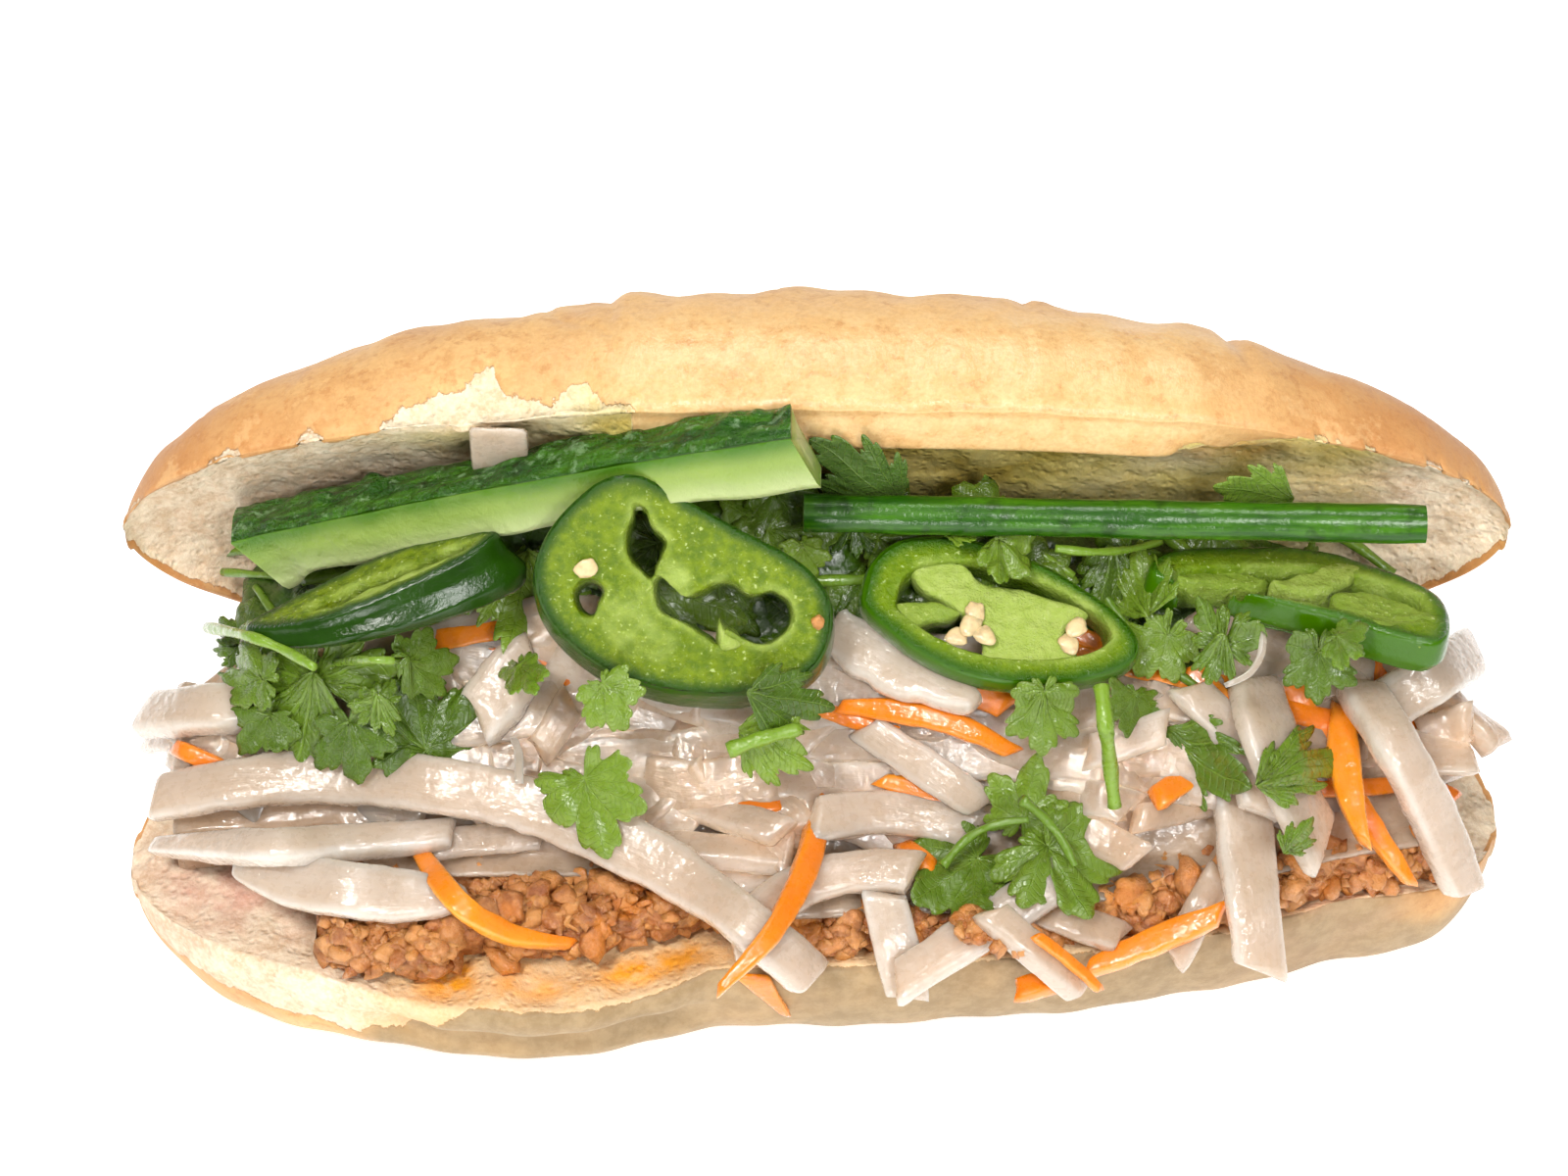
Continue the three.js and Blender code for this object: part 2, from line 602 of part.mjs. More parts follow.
// A slice across a pepper: an outer wall, ribs that meet in the middle, and the hollows between them.
// Lean slants its wall; wedge is the share of its thickness at its left and right ends.
function layPepperSlice(slice) {
  const { at, lift, facing, turn = 0, size, thick, hollows, owner, lean = UPRIGHT, wedge = EVEN } = slice;
  const spokes = 20;
  const outline = (k) => {
    const angle = (2 * Math.PI * k) / spokes;
    const bulge = 1 + 0.035 * Math.cos(3 * angle + size[0]) + 0.02 * Math.cos(5 * angle);
    return [size[0] * Math.cos(angle) * bulge, size[1] * Math.sin(angle) * bulge];
  };
  const normal = new THREE.Vector3(...facing).normalize();
  const long = new THREE.Vector3(1, 0, 0).addScaledVector(normal, -normal.x).normalize();
  long.applyAxisAngle(normal, THREE.MathUtils.degToRad(turn));
  const wide = new THREE.Vector3().crossVectors(normal, long);
  const place = new THREE.Matrix4().makeBasis(long, wide, normal);
  place.setPosition(...onPile(at, lift));
  const level = (points, height) =>
    points.map(([x, y]) => {
      const share = height < thick / 2 ? lerp(...wedge, clamp(x / size[0] / 2 + 0.5, 0, 1)) : 1;
      const deep = (thick / 2 - height) * share;
      const corner = new THREE.Vector3(x - deep * lean[0], y - deep * lean[1], thick / 2 - deep);
      return corner.applyMatrix4(place).toArray();
    });
  const build = (grow = 0) => {
    const wall = (inset) =>
      Array.from({ length: spokes }, (_, k) => {
        const [x, y] = outline(k);
        return [x * (1 + (grow - inset) / size[0]), y * (1 + (grow - inset) / size[1])];
      });
    const half = thick / 2 + grow;
    const body = loft([
      level(wall(0.9), -half),
      level(wall(0), -half + 1.2),
      level(wall(0), half - 1.2),
      level(wall(0.9), half),
    ]);
    if (grow > 0) return body;
    return hollows.reduce((rest, [x, y, rx, ry, tilt]) => {
      const rim = Array.from({ length: RIM_SPOKES }, (_, k) => {
        const angle = (2 * Math.PI * k) / RIM_SPOKES;
        const [p, q] = [rx * Math.cos(angle), ry * Math.sin(angle)];
        return [x + p * Math.cos(tilt) - q * Math.sin(tilt), y + p * Math.sin(tilt) + q * Math.cos(tilt)];
      });
      return rest.subtract(loft([level(rim, -half - 1), level(rim, half + 1)]));
    }, body);
  };
  for (let p = -size[0]; p <= size[0]; p += 0.7)
    for (let q = -size[1]; q <= size[1]; q += 0.7) {
      if (Math.hypot(p / size[0], q / size[1]) > 1) continue;
      const top = new THREE.Vector3(p, q, thick / 2).applyMatrix4(place);
      raise(top.x, top.y, top.z, owner);
    }
  return build;
}

// A spear cut along a cucumber: a strip of curved skin with a wedge of flesh under it.
function laySpear({ from, to, depth, width, skin, flesh, face, bow = 0 }) {
  const ends = [alongSightToDepth(from, depth[0]), alongSightToDepth(to, depth[1])];
  const count = 11;
  const out = new THREE.Vector3()
    .addScaledVector(TO_EYE, Math.cos(face))
    .addScaledVector(SHEET_UP, Math.sin(face));
  const build = (grow = 0) => {
    const rings = [];
    for (let i = 0; i < count; i++) {
      const t = i / (count - 1);
      const middle = new THREE.Vector3(...ends[0]).lerp(new THREE.Vector3(...ends[1]), t);
      middle.addScaledVector(SHEET_UP, 4 * bow * t * (1 - t));
      const across = new THREE.Vector3(1, 0, 0).cross(out);
      const size = 1 + 0.05 * wobble(i * 9, width, 2);
      const ring = [];
      for (let k = 0; k <= 5; k++) {
        const angle = (k / 5 - 0.5) * Math.PI;
        ring.push([(width / 2) * Math.sin(angle), skin * Math.cos(angle)]);
      }
      ring.push([width * 0.4, -flesh * 0.75], [0, -flesh], [-width * 0.4, -flesh * 0.75]);
      rings.push(
        ring.map(([a, o]) => {
          const swell = 1 + grow / width;
          return middle
            .clone()
            .addScaledVector(across, a * size * swell)
            .addScaledVector(out, (o + Math.sign(o) * grow) * size)
            .toArray();
        }),
      );
    }
    return loft(rings);
  };
  return build;
}

// ---------------------------------------------------------------- cores of the pile
const faceY = (x, z) => {
  const a = clamp((z - CUT_HEIGHT) / Math.sin(OPEN_ANGLE) - HINGE_Y, -halfWidth(x), halfWidth(x));
  return opened(x, a, faceDish(x, a))[1];
};
const backY = (x, z) =>
  Math.min(faceY(x, z) - 0.8, bottomMiddle(x) + 0.85 * halfWidth(x) + 0.6 * (z - CUT_HEIGHT));

function layerOf(xs, front, back, under, over, columns) {
  return loft(
    xs.map((x) => {
      const ring = [];
      const [f, b] = [front(x), back(x)];
      for (const t of [0, 0.5, 1]) ring.push([x, lerp(f, b, t), under(x, lerp(f, b, t))]);
      for (let k = columns; k >= 0; k--) {
        const y = lerp(f, b, k / columns);
        ring.push([x, y, Math.max(over(x, y), under(x, y) + 0.6)]);
      }
      return ring;
    }),
  );
}

const range = (from, to, count) => Array.from({ length: count + 1 }, (_, i) => lerp(from, to, i / count));

function porkLayer() {
  return layerOf(
    range(PORK_LEFT, PORK_RIGHT, 30),
    porkFront,
    (x) => Math.min(backY(x, 26), 27),
    (x, y) => cutFace(x, y) + 0.6,
    porkTop,
    7,
  );
}

// The pickles spread forward over the pork in the middle of the roll.
const SKIRT = { from: -14, to: 46, front: -27, thick: 2.2 };
const skirtShare = (x) =>
  smoothstep(x, SKIRT.from - 8, SKIRT.from + 6) * (1 - smoothstep(x, SKIRT.to - 6, SKIRT.to + 8));
const pickleFront = (x) =>
  Math.max(lerp(PILE_FRONT - 1, SKIRT.front, skirtShare(x)), bottomY(x, -0.8));
const pickleTop = (x, y) =>
  Math.max(
    pileTop(x, y, PICKLE_RISE) - CORE_SINK,
    y > pickleFront(x) ? PORK_TOP + GAP + SKIRT.thick * skirtShare(x) : 0,
  );

function pickleCore() {
  const low = (x, y) => cutFace(x, y) + 0.6;
  const xs = [...range(-99, PORK_LEFT - 3, 5), ...range(PORK_LEFT - 1, 97, 18)];
  return layerOf(
    xs,
    pickleFront,
    (x) => backY(x, PORK_TOP + 6),
    (x, y) => (x < PORK_LEFT - 2 ? low(x, y) : PORK_TOP + GAP),
    pickleTop,
    6,
  );
}

function herbCore() {
  const floor = (x) => PORK_TOP + PICKLE_RISE * endShare(x) - CORE_SINK + GAP;
  return layerOf(
    range(-90, 90, 18),
    () => HERB_FRONT,
    (x) => backY(x, floor(x) + 10),
    floor,
    (x, y) => pileTop(x, y) - CORE_SINK,
    5,
  );
}

// ---------------------------------------------------------------- what lies where
// Places are [x, v] on the sheet. The lists run from what lies lowest to what lies on top.
const DAIKON = "daikon";
const CARROT = "carrot";

const strip = (from, to, width, thick = 3.2, more = {}) => ({ from, to, width, thick, ...more });

const FILLERS = 9;

// Pickles that stay in the heap, half covered by others.
const HEAPED = [
  strip([-60, -28], [-41, -26], 6),
  strip([30, -29], [47, -24], 5),
  strip([4, -42], [16, -45], 6),
  strip([-20, -45], [-5, -42], 6.5),
  strip([56, -12], [64, -21], 4.5),
  strip([-101, -23], [-89, -23], 4),
  strip([-25, -39], [-4, -41], 5.5),
  strip([-39, -25], [-2, -37], 5.5, 3.5, { bow: 6 }),
  strip([-2, -29], [10, -28], 5.5),
  strip([40, -40], [47, -27], 9, 4),
  strip([48, -35], [66, -31], 4.5, 3.5),
  strip([46, -16], [56, -22], 7, 4),
  strip([94, -16], [103, -24], 6, 4),
  strip([35, -49], [46, -53], 5.5, 3),
  strip([61, -43], [54, -56], 5, 3),
];

// Shorter pieces fill the heap between them, running every way.
function fillers(count, seed) {
  const random = seeded(seed);
  return Array.from({ length: count }, (_, i) => {
    const x = lerp(-94, 94, (i + random()) / count);
    const v = lerp(-14, -27, random()) - 9 * random() * skirtShare(x);
    const turn = lerp(-1.2, 1.2, random());
    const half = lerp(6, 10, random()) * endShare(x * 0.9);
    const [dx, dv] = [half * Math.cos(turn), 0.8 * half * Math.sin(turn)];
    return strip([x - dx, v - dv], [x + dx, v + dv], lerp(4, 6.5, random()), 3);
  });
}

// Pickles that lie loose on top.
const LOOSE = [
  strip([-101, -19], [-85, -18], 7.5, 5, { kind: DAIKON }),
  strip([-43, -9], [-51, -20], 9, 6, { kind: DAIKON }),
  strip([-26, -41], [-15, -48], 3.5, 3, { kind: CARROT, taper: 1 }),
  strip([9, -29], [23, -32], 3.5, 3, { kind: CARROT }),
  strip([10, -46], [14, -62], 7, 3, { kind: DAIKON }),
  strip([-13, -53], [15, -43], 7, 3.5, { kind: DAIKON, bow: 4 }),
  strip([7, -21], [25, -33], 5.5, 3.5, { kind: DAIKON }),
  strip([3, -18], [30, -25], 3.5, 3, { kind: CARROT, bow: 2 }),
  strip([2, -6], [24, -18], 8.5, 4, { kind: DAIKON }),
  strip([-88, -42.4], [-53, -47], 8.5, 4.5, { kind: DAIKON, bow: -1 }),
  strip([-60, -40], [-37, -54], 4.5, 3, { kind: CARROT, bow: -4, taper: 1 }),
  strip([-100, -39], [-55, -37], 5.5, 4, { kind: DAIKON, bow: -1 }),
  strip([-100, -32], [-1, -59], 8.5, 4.5, { kind: DAIKON, bow: 14 }),
  strip([1, -32], [-15, -61], 4.5, 3, { kind: CARROT, bow: 3, taper: 1 }),
  strip([12, -60], [36, -44], 7, 4, { kind: DAIKON }),
  strip([40.5, -58], [61.5, -49], 4, 3, { kind: CARROT }),
  strip([26, -49], [40, -61], 5, 4, { kind: DAIKON }),
  strip([64, -30], [67, -58], 8.5, 4, { kind: DAIKON }),
  strip([56, -15], [67, -34], 6, 3.5, { kind: DAIKON, bow: 2 }),
  strip([66, -14], [76, -39], 11, 4, { kind: DAIKON, bow: -1 }),
  strip([79, -29], [90, -45], 4, 3, { kind: CARROT, taper: 1 }),
  strip([79, -18], [83, -39], 5, 3.5, { kind: CARROT, bow: -1, taper: 1 }),
  strip([83, -20], [99, -10], 8, 4.5, { kind: DAIKON }),
  strip([82, -15], [98, -46], 7, 4.5, { kind: DAIKON, bow: 1 }),
];

// One more, fallen behind the left cucumber.
const LEANING = { from: [-48.3, 24.4], to: [-47.5, 15], width: 9, thick: 3, off: -1.2 };

const SPEARS = [
  {
    name: "cucumber_left",
    from: [-88, 9],
    to: [-4, 24.6],
    depth: [24, 12.5],
    width: 11,
    skin: 2.2,
    flesh: 8.5,
    face: THREE.MathUtils.degToRad(65),
    bow: 0.8,
  },
  {
    name: "cucumber_right",
    from: [-2, 11.3],
    to: [92, 9.6],
    depth: [17, 15],
    width: 5.8,
    skin: 2.2,
    flesh: 4,
    face: THREE.MathUtils.degToRad(-8),
  },
];

const PEPPERS = [
  {
    at: [-65, 1],
    lift: 10,
    facing: [-0.35, 0.3, 0.88],
    size: [21, 9],
    thick: 10,
    wedge: [0.25, 1],
    hollows: [[5, 0, 9, 4.5, 0]],
  },
  {
    at: [-20, 0],
    lift: 21.5,
    facing: [0, -0.87, 0.49],
    size: [21.5, 17.5],
    thick: 6,
    lean: [0, 0.85],
    hollows: [
      [-5, 5, 5.5, 6, 0.4],
      [5, -4.5, 8.5, 5, -0.5],
      [-13, -5, 2.4, 3.6, 0.3],
    ],
  },
  {
    at: [27.5, -4],
    lift: 7,
    facing: [0.06, -0.37, 0.93],
    turn: -12,
    size: [20.5, 13.5],
    thick: 6,
    hollows: [
      [-3, 5.4, 8, 3, 0.1],
      [9, -2, 5, 4, -0.3],
      [-9, -4.5, 6, 3.4, 0.35],
    ],
  },
  {
    at: [73, -2],
    lift: 8,
    facing: [0.12, 0.2, 0.97],
    turn: 2,
    size: [23, 10.5],
    thick: 6.5,
    hollows: [
      [-8, 1, 8.5, 4.6, 0.1],
      [10, 0, 6.5, 4.4, -0.1],
    ],
  },
];

const leaf = (at, size, more = {}) => ({ at, size, ...more });

// Cilantro bedded into the herbs at the back.
const BEDDED_LEAVES = [
  leaf([-5, 11], 9.5),
  leaf([60, 5], 6),
  leaf([-72, 0], 8),
  leaf([46, 2], 7),
  leaf([-30, 7], 7),
  leaf([-84, -8], 7),
  leaf([82, -7], 7),
  leaf([22, 6], 6),
];

// Leaves that lie loose on top.
const LOOSE_LEAVES = [
  leaf([-75, -14], 15, { turn: 20 }),
  leaf([-45, -4], 8.5, { outline: "blade", turn: 70 }),
  leaf([-60, -21], 10, { turn: -20 }),
  leaf([-59, -12], 6, { outline: "blade", turn: 15 }),
  leaf([-31, -17.5], 5.5, { turn: 40 }),
  leaf([-4, -17], 8, { outline: "blade", turn: -5 }),
  leaf([-6, -25], 6, { outline: "blade", turn: -25 }),
  leaf([-34, -34], 9.5, { turn: -50 }),
  leaf([34, -21], 6.5, { turn: 30 }),
  leaf([51, -10], 6.5, { turn: 100 }),
  leaf([62, -9], 7, { turn: 10 }),
  leaf([76, -13], 6, { turn: 60 }),
  leaf([59, -28], 7.5, { outline: "blade", turn: -35 }),
  leaf([73, -28], 7, { outline: "blade", turn: 20 }),
  leaf([6, 17.5], 9, { onFace: true, outline: "blade", turn: -35 }),
  leaf([21, -44.5], 9.6, { turn: 90 }),
  leaf([31.5, -32.5], 7, { turn: 80 }),
  leaf([37, -43.5], 10.5, { turn: -60 }),
];

// Two stems of the largest sprig, whose leaflets end the list above, and a bare one.
const STEMS = [
  strip([19, -42], [32, -35], 1.8, 1.4, { bow: 2 }),
  strip([31, -32], [39, -42], 2, 1.6, { bow: 1 }),
  strip([43, -15], [45, -33], 2.6, 2.2),
];

// ---------------------------------------------------------------- building it
const COLOURS = {
  bread: 0xdcaf6c,
  pork: 0xa86c3c,
  pickles: 0xe4d8c4,
  herbs: 0x4b7a2c,
  cucumber: 0x2f5f1e,
  jalapeno: 0x6f9a24,
  daikon: 0xe9e0d2,
  carrot: 0xf09a3c,
  cilantro: 0x4f7f2a,
};

// Solids in the order they were laid; a later one lies on the earlier ones.
const laid = [];

function lay(name, build, colour, roughness = 0.6) {
  laid.push({ name, build, colour, roughness, solid: build(0) });
}

// One piece made of several that overlap; what hangs loose of it is left out.
function joined(builds) {
  return (grow = 0) => {
    const solids = builds.map((build) => build(grow));
    return largestBody(solids.reduce((whole, piece) => whole.add(piece)));
  };
}

startMap();

const heaped = [...fillers(FILLERS, 7), ...HEAPED].map((s) =>
  layStrip({ ...s, owner: "pickles", sink: 1, step: 11 }),
);
lay("bread", () => largestBody(bottomHalf().add(topHalf())), COLOURS.bread, 0.7);
lay("pork", porkLayer, COLOURS.pork, 0.55);
lay("pickles", joined([pickleCore, ...heaped]), COLOURS.pickles, 0.35);

const bedded = BEDDED_LEAVES.map((l) => layLeaf({ ...l, owner: "herbs", thick: 0.9, sink: 0.8 }));
lay("herbs", joined([herbCore, ...bedded]), COLOURS.herbs);

const counts = { [DAIKON]: 0, [CARROT]: 0 };
for (const piece of LOOSE) {
  counts[piece.kind] += 1;
  const name = piece.kind + "_" + counts[piece.kind];
  lay(name, layStrip({ ...piece, owner: name, step: 10 }), COLOURS[piece.kind], 0.35);
}

lay("daikon_" + (counts[DAIKON] + 1), layAgainstFace(LEANING), COLOURS[DAIKON], 0.35);

PEPPERS.forEach((slice, i) => {
  const name = "jalapeno_" + (i + 1);
  lay(name, layPepperSlice({ ...slice, owner: name }), COLOURS.jalapeno, 0.35);
});

LOOSE_LEAVES.forEach((l, i) => {
  const name = "cilantro_" + (i + 1);
  lay(name, layLeaf({ ...l, owner: name }), COLOURS.cilantro);
});

STEMS.forEach((stem, i) => {
  const name = "cilantro_stem_" + (i + 1);
  lay(name, layStrip({ ...stem, owner: name, step: 7 }), COLOURS.cilantro);
});

for (const spear of SPEARS) lay(spear.name, laySpear(spear), COLOURS.cucumber, 0.3);

// Where a later piece dents an earlier one, the earlier one gives way with a little clearance.
for (let upper = 1; upper < laid.length; upper++)
  for (let lower = 0; lower < upper; lower++) {
    const [a, b] = [laid[lower], laid[upper]];
    if (a.solid.intersect(b.solid).volume() < 0.002) continue;
    a.solid = largestBody(a.solid.subtract(b.build(CUT_CLEARANCE)).subtract(b.solid));
  }

function meshOf({ name, solid, colour, roughness }) {
  const data = solid.getMesh();
  const positions = new Float32Array(data.numVert * 3);
  for (let i = 0; i < data.numVert; i++)
    positions.set(data.vertProperties.subarray(i * data.numProp, i * data.numProp + 3), i * 3);
  const geometry = new THREE.BufferGeometry()
    .setAttribute("position", new THREE.BufferAttribute(positions, 3))
    .setIndex(new THREE.BufferAttribute(data.triVerts, 1));
  geometry.computeVertexNormals();
  const mesh = new THREE.Mesh(geometry, new THREE.MeshStandardMaterial({ color: colour, roughness }));
  mesh.name = name;
  return mesh;
}

const banhMi = new THREE.Group();
for (const piece of laid) banhMi.add(meshOf(piece));

export default banhMi;
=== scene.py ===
import math

import bmesh
import bpy
import numpy as np
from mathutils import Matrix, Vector


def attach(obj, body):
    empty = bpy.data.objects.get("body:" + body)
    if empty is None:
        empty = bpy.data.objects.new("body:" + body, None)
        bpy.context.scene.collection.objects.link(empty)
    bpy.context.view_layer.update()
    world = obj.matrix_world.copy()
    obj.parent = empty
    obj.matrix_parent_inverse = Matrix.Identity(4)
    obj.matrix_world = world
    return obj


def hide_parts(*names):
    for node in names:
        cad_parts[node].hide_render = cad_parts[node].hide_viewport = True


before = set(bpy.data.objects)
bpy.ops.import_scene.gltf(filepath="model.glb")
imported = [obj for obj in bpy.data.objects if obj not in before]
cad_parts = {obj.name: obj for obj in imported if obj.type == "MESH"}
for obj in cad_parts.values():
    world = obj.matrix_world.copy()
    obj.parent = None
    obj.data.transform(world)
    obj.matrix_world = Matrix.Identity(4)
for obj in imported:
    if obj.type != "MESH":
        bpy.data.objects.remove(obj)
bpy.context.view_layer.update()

# A banh mi sandwich. All shapes are made in millimetres, in the frame of the solids: +X along the
# roll, +Z up, the mouth facing -Y. Pieces become metres in Heap.piece.
MM = 0.001


# ------------------------------------------------------------------ noise and small tools
def lattice(cell, seed):
    """A fixed random number from -1 to 1 for each whole-numbered cell."""
    h = (cell[..., 0] * 374761393 + cell[..., 1] * 668265263 + cell[..., 2] * 1440662683
         + seed * 974634777) & 0xFFFFFFFF
    h = ((h ^ (h >> 13)) * 1274126177) & 0xFFFFFFFF
    return ((h ^ (h >> 16)) & 0xFFFF) / 32767.5 - 1


def noise(points, size, seed=0):
    """Smooth value noise from -1 to 1, with features of the given size."""
    q = np.asarray(points, float) / size
    cell = np.floor(q).astype(np.int64)
    t = q - cell
    t = t * t * (3 - 2 * t)
    total = np.zeros(q.shape[:-1])
    for dx in (0, 1):
        for dy in (0, 1):
            for dz in (0, 1):
                weight = ((t[..., 0] if dx else 1 - t[..., 0]) * (t[..., 1] if dy else 1 - t[..., 1])
                          * (t[..., 2] if dz else 1 - t[..., 2]))
                total += weight * lattice(cell + np.array([dx, dy, dz]), seed)
    return total


def noise3(points, size, *seeds):
    """Noise in as many directions as there are seeds."""
    return np.stack([noise(points, size, seed) for seed in seeds], -1)


def fbm(points, size, octaves, seed):
    """Noise with finer and finer layers."""
    return sum(noise(points, size / 2 ** k, seed + 7 * k) / 2 ** k for k in range(octaves)) / 1.6


def pores(points, size, seed):
    """Distance to the nearest of many scattered centres, as a share of their spacing."""
    q = np.asarray(points, float) / size
    cell = np.floor(q).astype(np.int64)
    best = np.full(q.shape[:-1], 9.0)
    for dx in (-1, 0, 1):
        for dy in (-1, 0, 1):
            for dz in (-1, 0, 1):
                c = cell + np.array([dx, dy, dz])
                centre = c + 0.5 + 0.45 * np.stack([lattice(c, seed + s) for s in range(3)], -1)
                best = np.minimum(best, np.linalg.norm(q - centre, axis=-1))
    return best


def smooth(x, a, b):
    """A soft step from 0 at a to 1 at b; a may be the larger one."""
    t = np.clip((np.asarray(x, float) - a) / (b - a), 0, 1)
    return t * t * (3 - 2 * t)


def lerp(a, b, t):
    return a + (b - a) * t


def catmull(rows, t):
    """A smooth curve through rows of numbers, at places t from 0 to len(rows) - 1."""
    rows = np.asarray(rows, float)
    t = np.clip(np.asarray(t, float), 0, len(rows) - 1 - 1e-9)
    i = np.floor(t).astype(int)
    u = (t - i)[..., None]
    a = rows[np.maximum(i - 1, 0)]
    b = rows[i]
    c = rows[i + 1]
    d = rows[np.minimum(i + 2, len(rows) - 1)]
    return 0.5 * (2 * b + (c - a) * u + (2 * a - 5 * b + 4 * c - d) * u ** 2 + (3 * b - a - 3 * c + d) * u ** 3)


def unit(v):
    v = np.asarray(v, float)
    return v / np.maximum(np.linalg.norm(v, axis=-1, keepdims=True), 1e-9)


class Heap:
    """Collects closed shapes, in millimetres, with numbers at their vertices, for one piece."""

    def __init__(self):
        self.points, self.faces, self.values, self.count = [], [], {}, 0

    def add(self, points, faces, **values):
        points = np.asarray(points, float).reshape(-1, 3)
        n = len(points)
        for name in sorted(set(self.values) | set(values)):
            rows = self.values.setdefault(name, [np.zeros(self.count)] if self.count else [])
            rows.append(np.broadcast_to(np.asarray(values.get(name, 0), float).reshape(-1), (n,)).copy())
        for f in faces:
            self.faces.append(np.asarray(f, np.int64) + self.count)
        self.points.append(points)
        self.count += n

    def piece(self, name, material, slot, nodes=()):
        """Makes the object, which rides on the body and replaces the given nodes."""
        points = np.concatenate(self.points) * MM
        mesh = bpy.data.meshes.new(name)
        mesh.vertices.add(len(points))
        mesh.vertices.foreach_set("co", points.astype(np.float32).ravel())
        loops = np.concatenate([f.ravel() for f in self.faces])
        totals = np.concatenate([np.full(len(f), f.shape[1]) for f in self.faces])
        mesh.loops.add(len(loops))
        mesh.loops.foreach_set("vertex_index", loops.astype(np.int32))
        mesh.polygons.add(len(totals))
        mesh.polygons.foreach_set("loop_start", (np.cumsum(totals) - totals).astype(np.int32))
        mesh.update(calc_edges=True)
        mesh.validate()
        mesh.shade_smooth()
        for key, rows in self.values.items():
            attribute = mesh.attributes.new(key, "FLOAT", "POINT")
            attribute.data.foreach_set("value", np.concatenate(rows).astype(np.float32))
        mesh.materials.append(material)
        made = bpy.data.objects.new(name, mesh)
        bpy.context.scene.collection.objects.link(made)
        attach(made, "root")
        if nodes:
            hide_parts(*nodes)
        return made


def tube_faces(n, m):
    """Four-sided faces between n rings of m points."""
    i, j = np.meshgrid(np.arange(n - 1), np.arange(m), indexing="ij")
    a, b = i * m + j, i * m + (j + 1) % m
    return np.stack([a, b, b + m, a + m], -1).reshape(-1, 4)


# Rings of a bulging cap: the ring's size, and how far out it lies.
CAPS = ((0.92, 0.45), (0.74, 0.78), (0.45, 0.95), (0.12, 1.0))


def with_caps(values, m):
    """Values of the rings' points, repeated for the points that closed(..., round_ends) adds."""
    values = np.asarray(values).reshape(-1)
    return np.concatenate([np.tile(values[:m], len(CAPS)), values, np.tile(values[-m:], len(CAPS)), [0, 0]])


def closed(rings, round_ends=None):
    """A closed shape from a row of equal rings: (points, faces). round_ends adds caps that bulge so far."""
    rings = np.asarray(rings, float)
    if round_ends:
        first, last = ([ring + (ring.mean(0) - ring) * (1 - share)
                        + unit(ring.mean(0) - inner.mean(0)) * out * round_ends for share, out in CAPS]
                       for ring, inner in ((rings[0], rings[1]), (rings[-1], rings[-2])))
        rings = np.asarray(first[::-1] + list(rings) + last)
    n, m = rings.shape[:2]
    points = np.concatenate([rings.reshape(-1, 3), rings[:1].mean(1), rings[-1:].mean(1)])
    k = np.arange(m)
    first = np.stack([(k + 1) % m, k, np.full(m, n * m)], -1)
    last = np.stack([(n - 1) * m + k, (n - 1) * m + (k + 1) % m, np.full(m, n * m + 1)], -1)
    return points, [tube_faces(n, m), first, last]


# ------------------------------------------------------------------ the roll, as in the solids
HALF = 106.0
CUT, DOME = 22.0, 34.5
HINGE, OPEN = 33.0, math.radians(78)
SIN, COS = math.sin(OPEN), math.cos(OPEN)


def wobble(x, y, seed=0):
    return (np.sin(x * 0.21 + seed * 1.7) * np.cos(y * 0.27 - seed)
            + np.sin(x * 0.53 + y * 0.37 + seed * 2.3) * 0.6) / 1.6


def half_width(x):
    """Half the roll's width at x."""
    return 38 * np.sqrt(np.maximum(0, 1 - np.abs(x / HALF) ** 2.6))


def height_share(x):
    return np.sqrt(np.maximum(0.02, 1 - np.abs(x / HALF) ** 5))


def bottom_middle(x):
    return -2 + 4 * x / HALF


def torn_share(x):
    """1 along the stretch where the lower rim is pushed out by the filling."""
    return smooth(x, -42, -14) * (1 - smooth(x, 76, 104))


def bottom_y(x, f):
    return bottom_middle(x) + f * half_width(x) + 7 * torn_share(x) * np.maximum(0, -f)


def cut_height(x):
    return CUT * (0.62 + 0.38 * height_share(x))


def cut_face(x, y):
    m = bottom_middle(x)
    edge = np.maximum(4, 0.96 * np.where(y < m, m - bottom_y(x, -1), half_width(x)))
    across = np.clip((y - m) / edge, -1, 1)
    return cut_height(x) - 3.5 * (1 - across ** 4) * height_share(x)


def lip_share(x):
    """1 along the stretch where the upper rim curls over."""
    return smooth(x, -48, -20) * (1 - smooth(x, 46, 74))


# Folds over the dome: place, depth and slant.
CREASES = [(-33, 1.6, 0.06), (32, 1.1, -0.05), (57, 1.5, 0.22)]


def dome_height(x, across):
    groove = sum(d * np.exp(-((x - c - k * across) / 1.7) ** 2) for c, d, k in CREASES)
    step = 1.6 * smooth(-33 - x, -2, 3)
    share = np.sqrt(1 - np.abs(x / HALF) ** np.where(x < 0, 2.4, 1.75))
    return DOME * share - groove - step + 0.7 * wobble(x, across, 3)


def face_dish(x, a):
    f = np.clip(a / np.maximum(3, half_width(x) * 0.95), -1, 1)
    lip = lip_share(x)
    band = smooth(a, half_width(x) - 14, half_width(x) - 8)
    dish = 5.5 * (1 - np.abs(f) ** 3) * height_share(x)
    return dish * (1 - lip * band) - 2 * lip * band * (1 - f ** 8)


def opened(x, a, h):
    """The upper half's own across and up, turned back round the hinge."""
    dy = -a - HINGE
    x, dy, h = np.broadcast_arrays(x, dy, h)
    return np.stack([x, HINGE + dy * COS + h * SIN, CUT - dy * SIN + h * COS], -1)


def stations(count):
    """Places along the roll, closer together towards its ends."""
    t = 2 * np.arange(count + 1) / count - 1
    return HALF * 0.993 * np.sin(t * math.pi / 2) * (0.55 + 0.45 * np.abs(t))


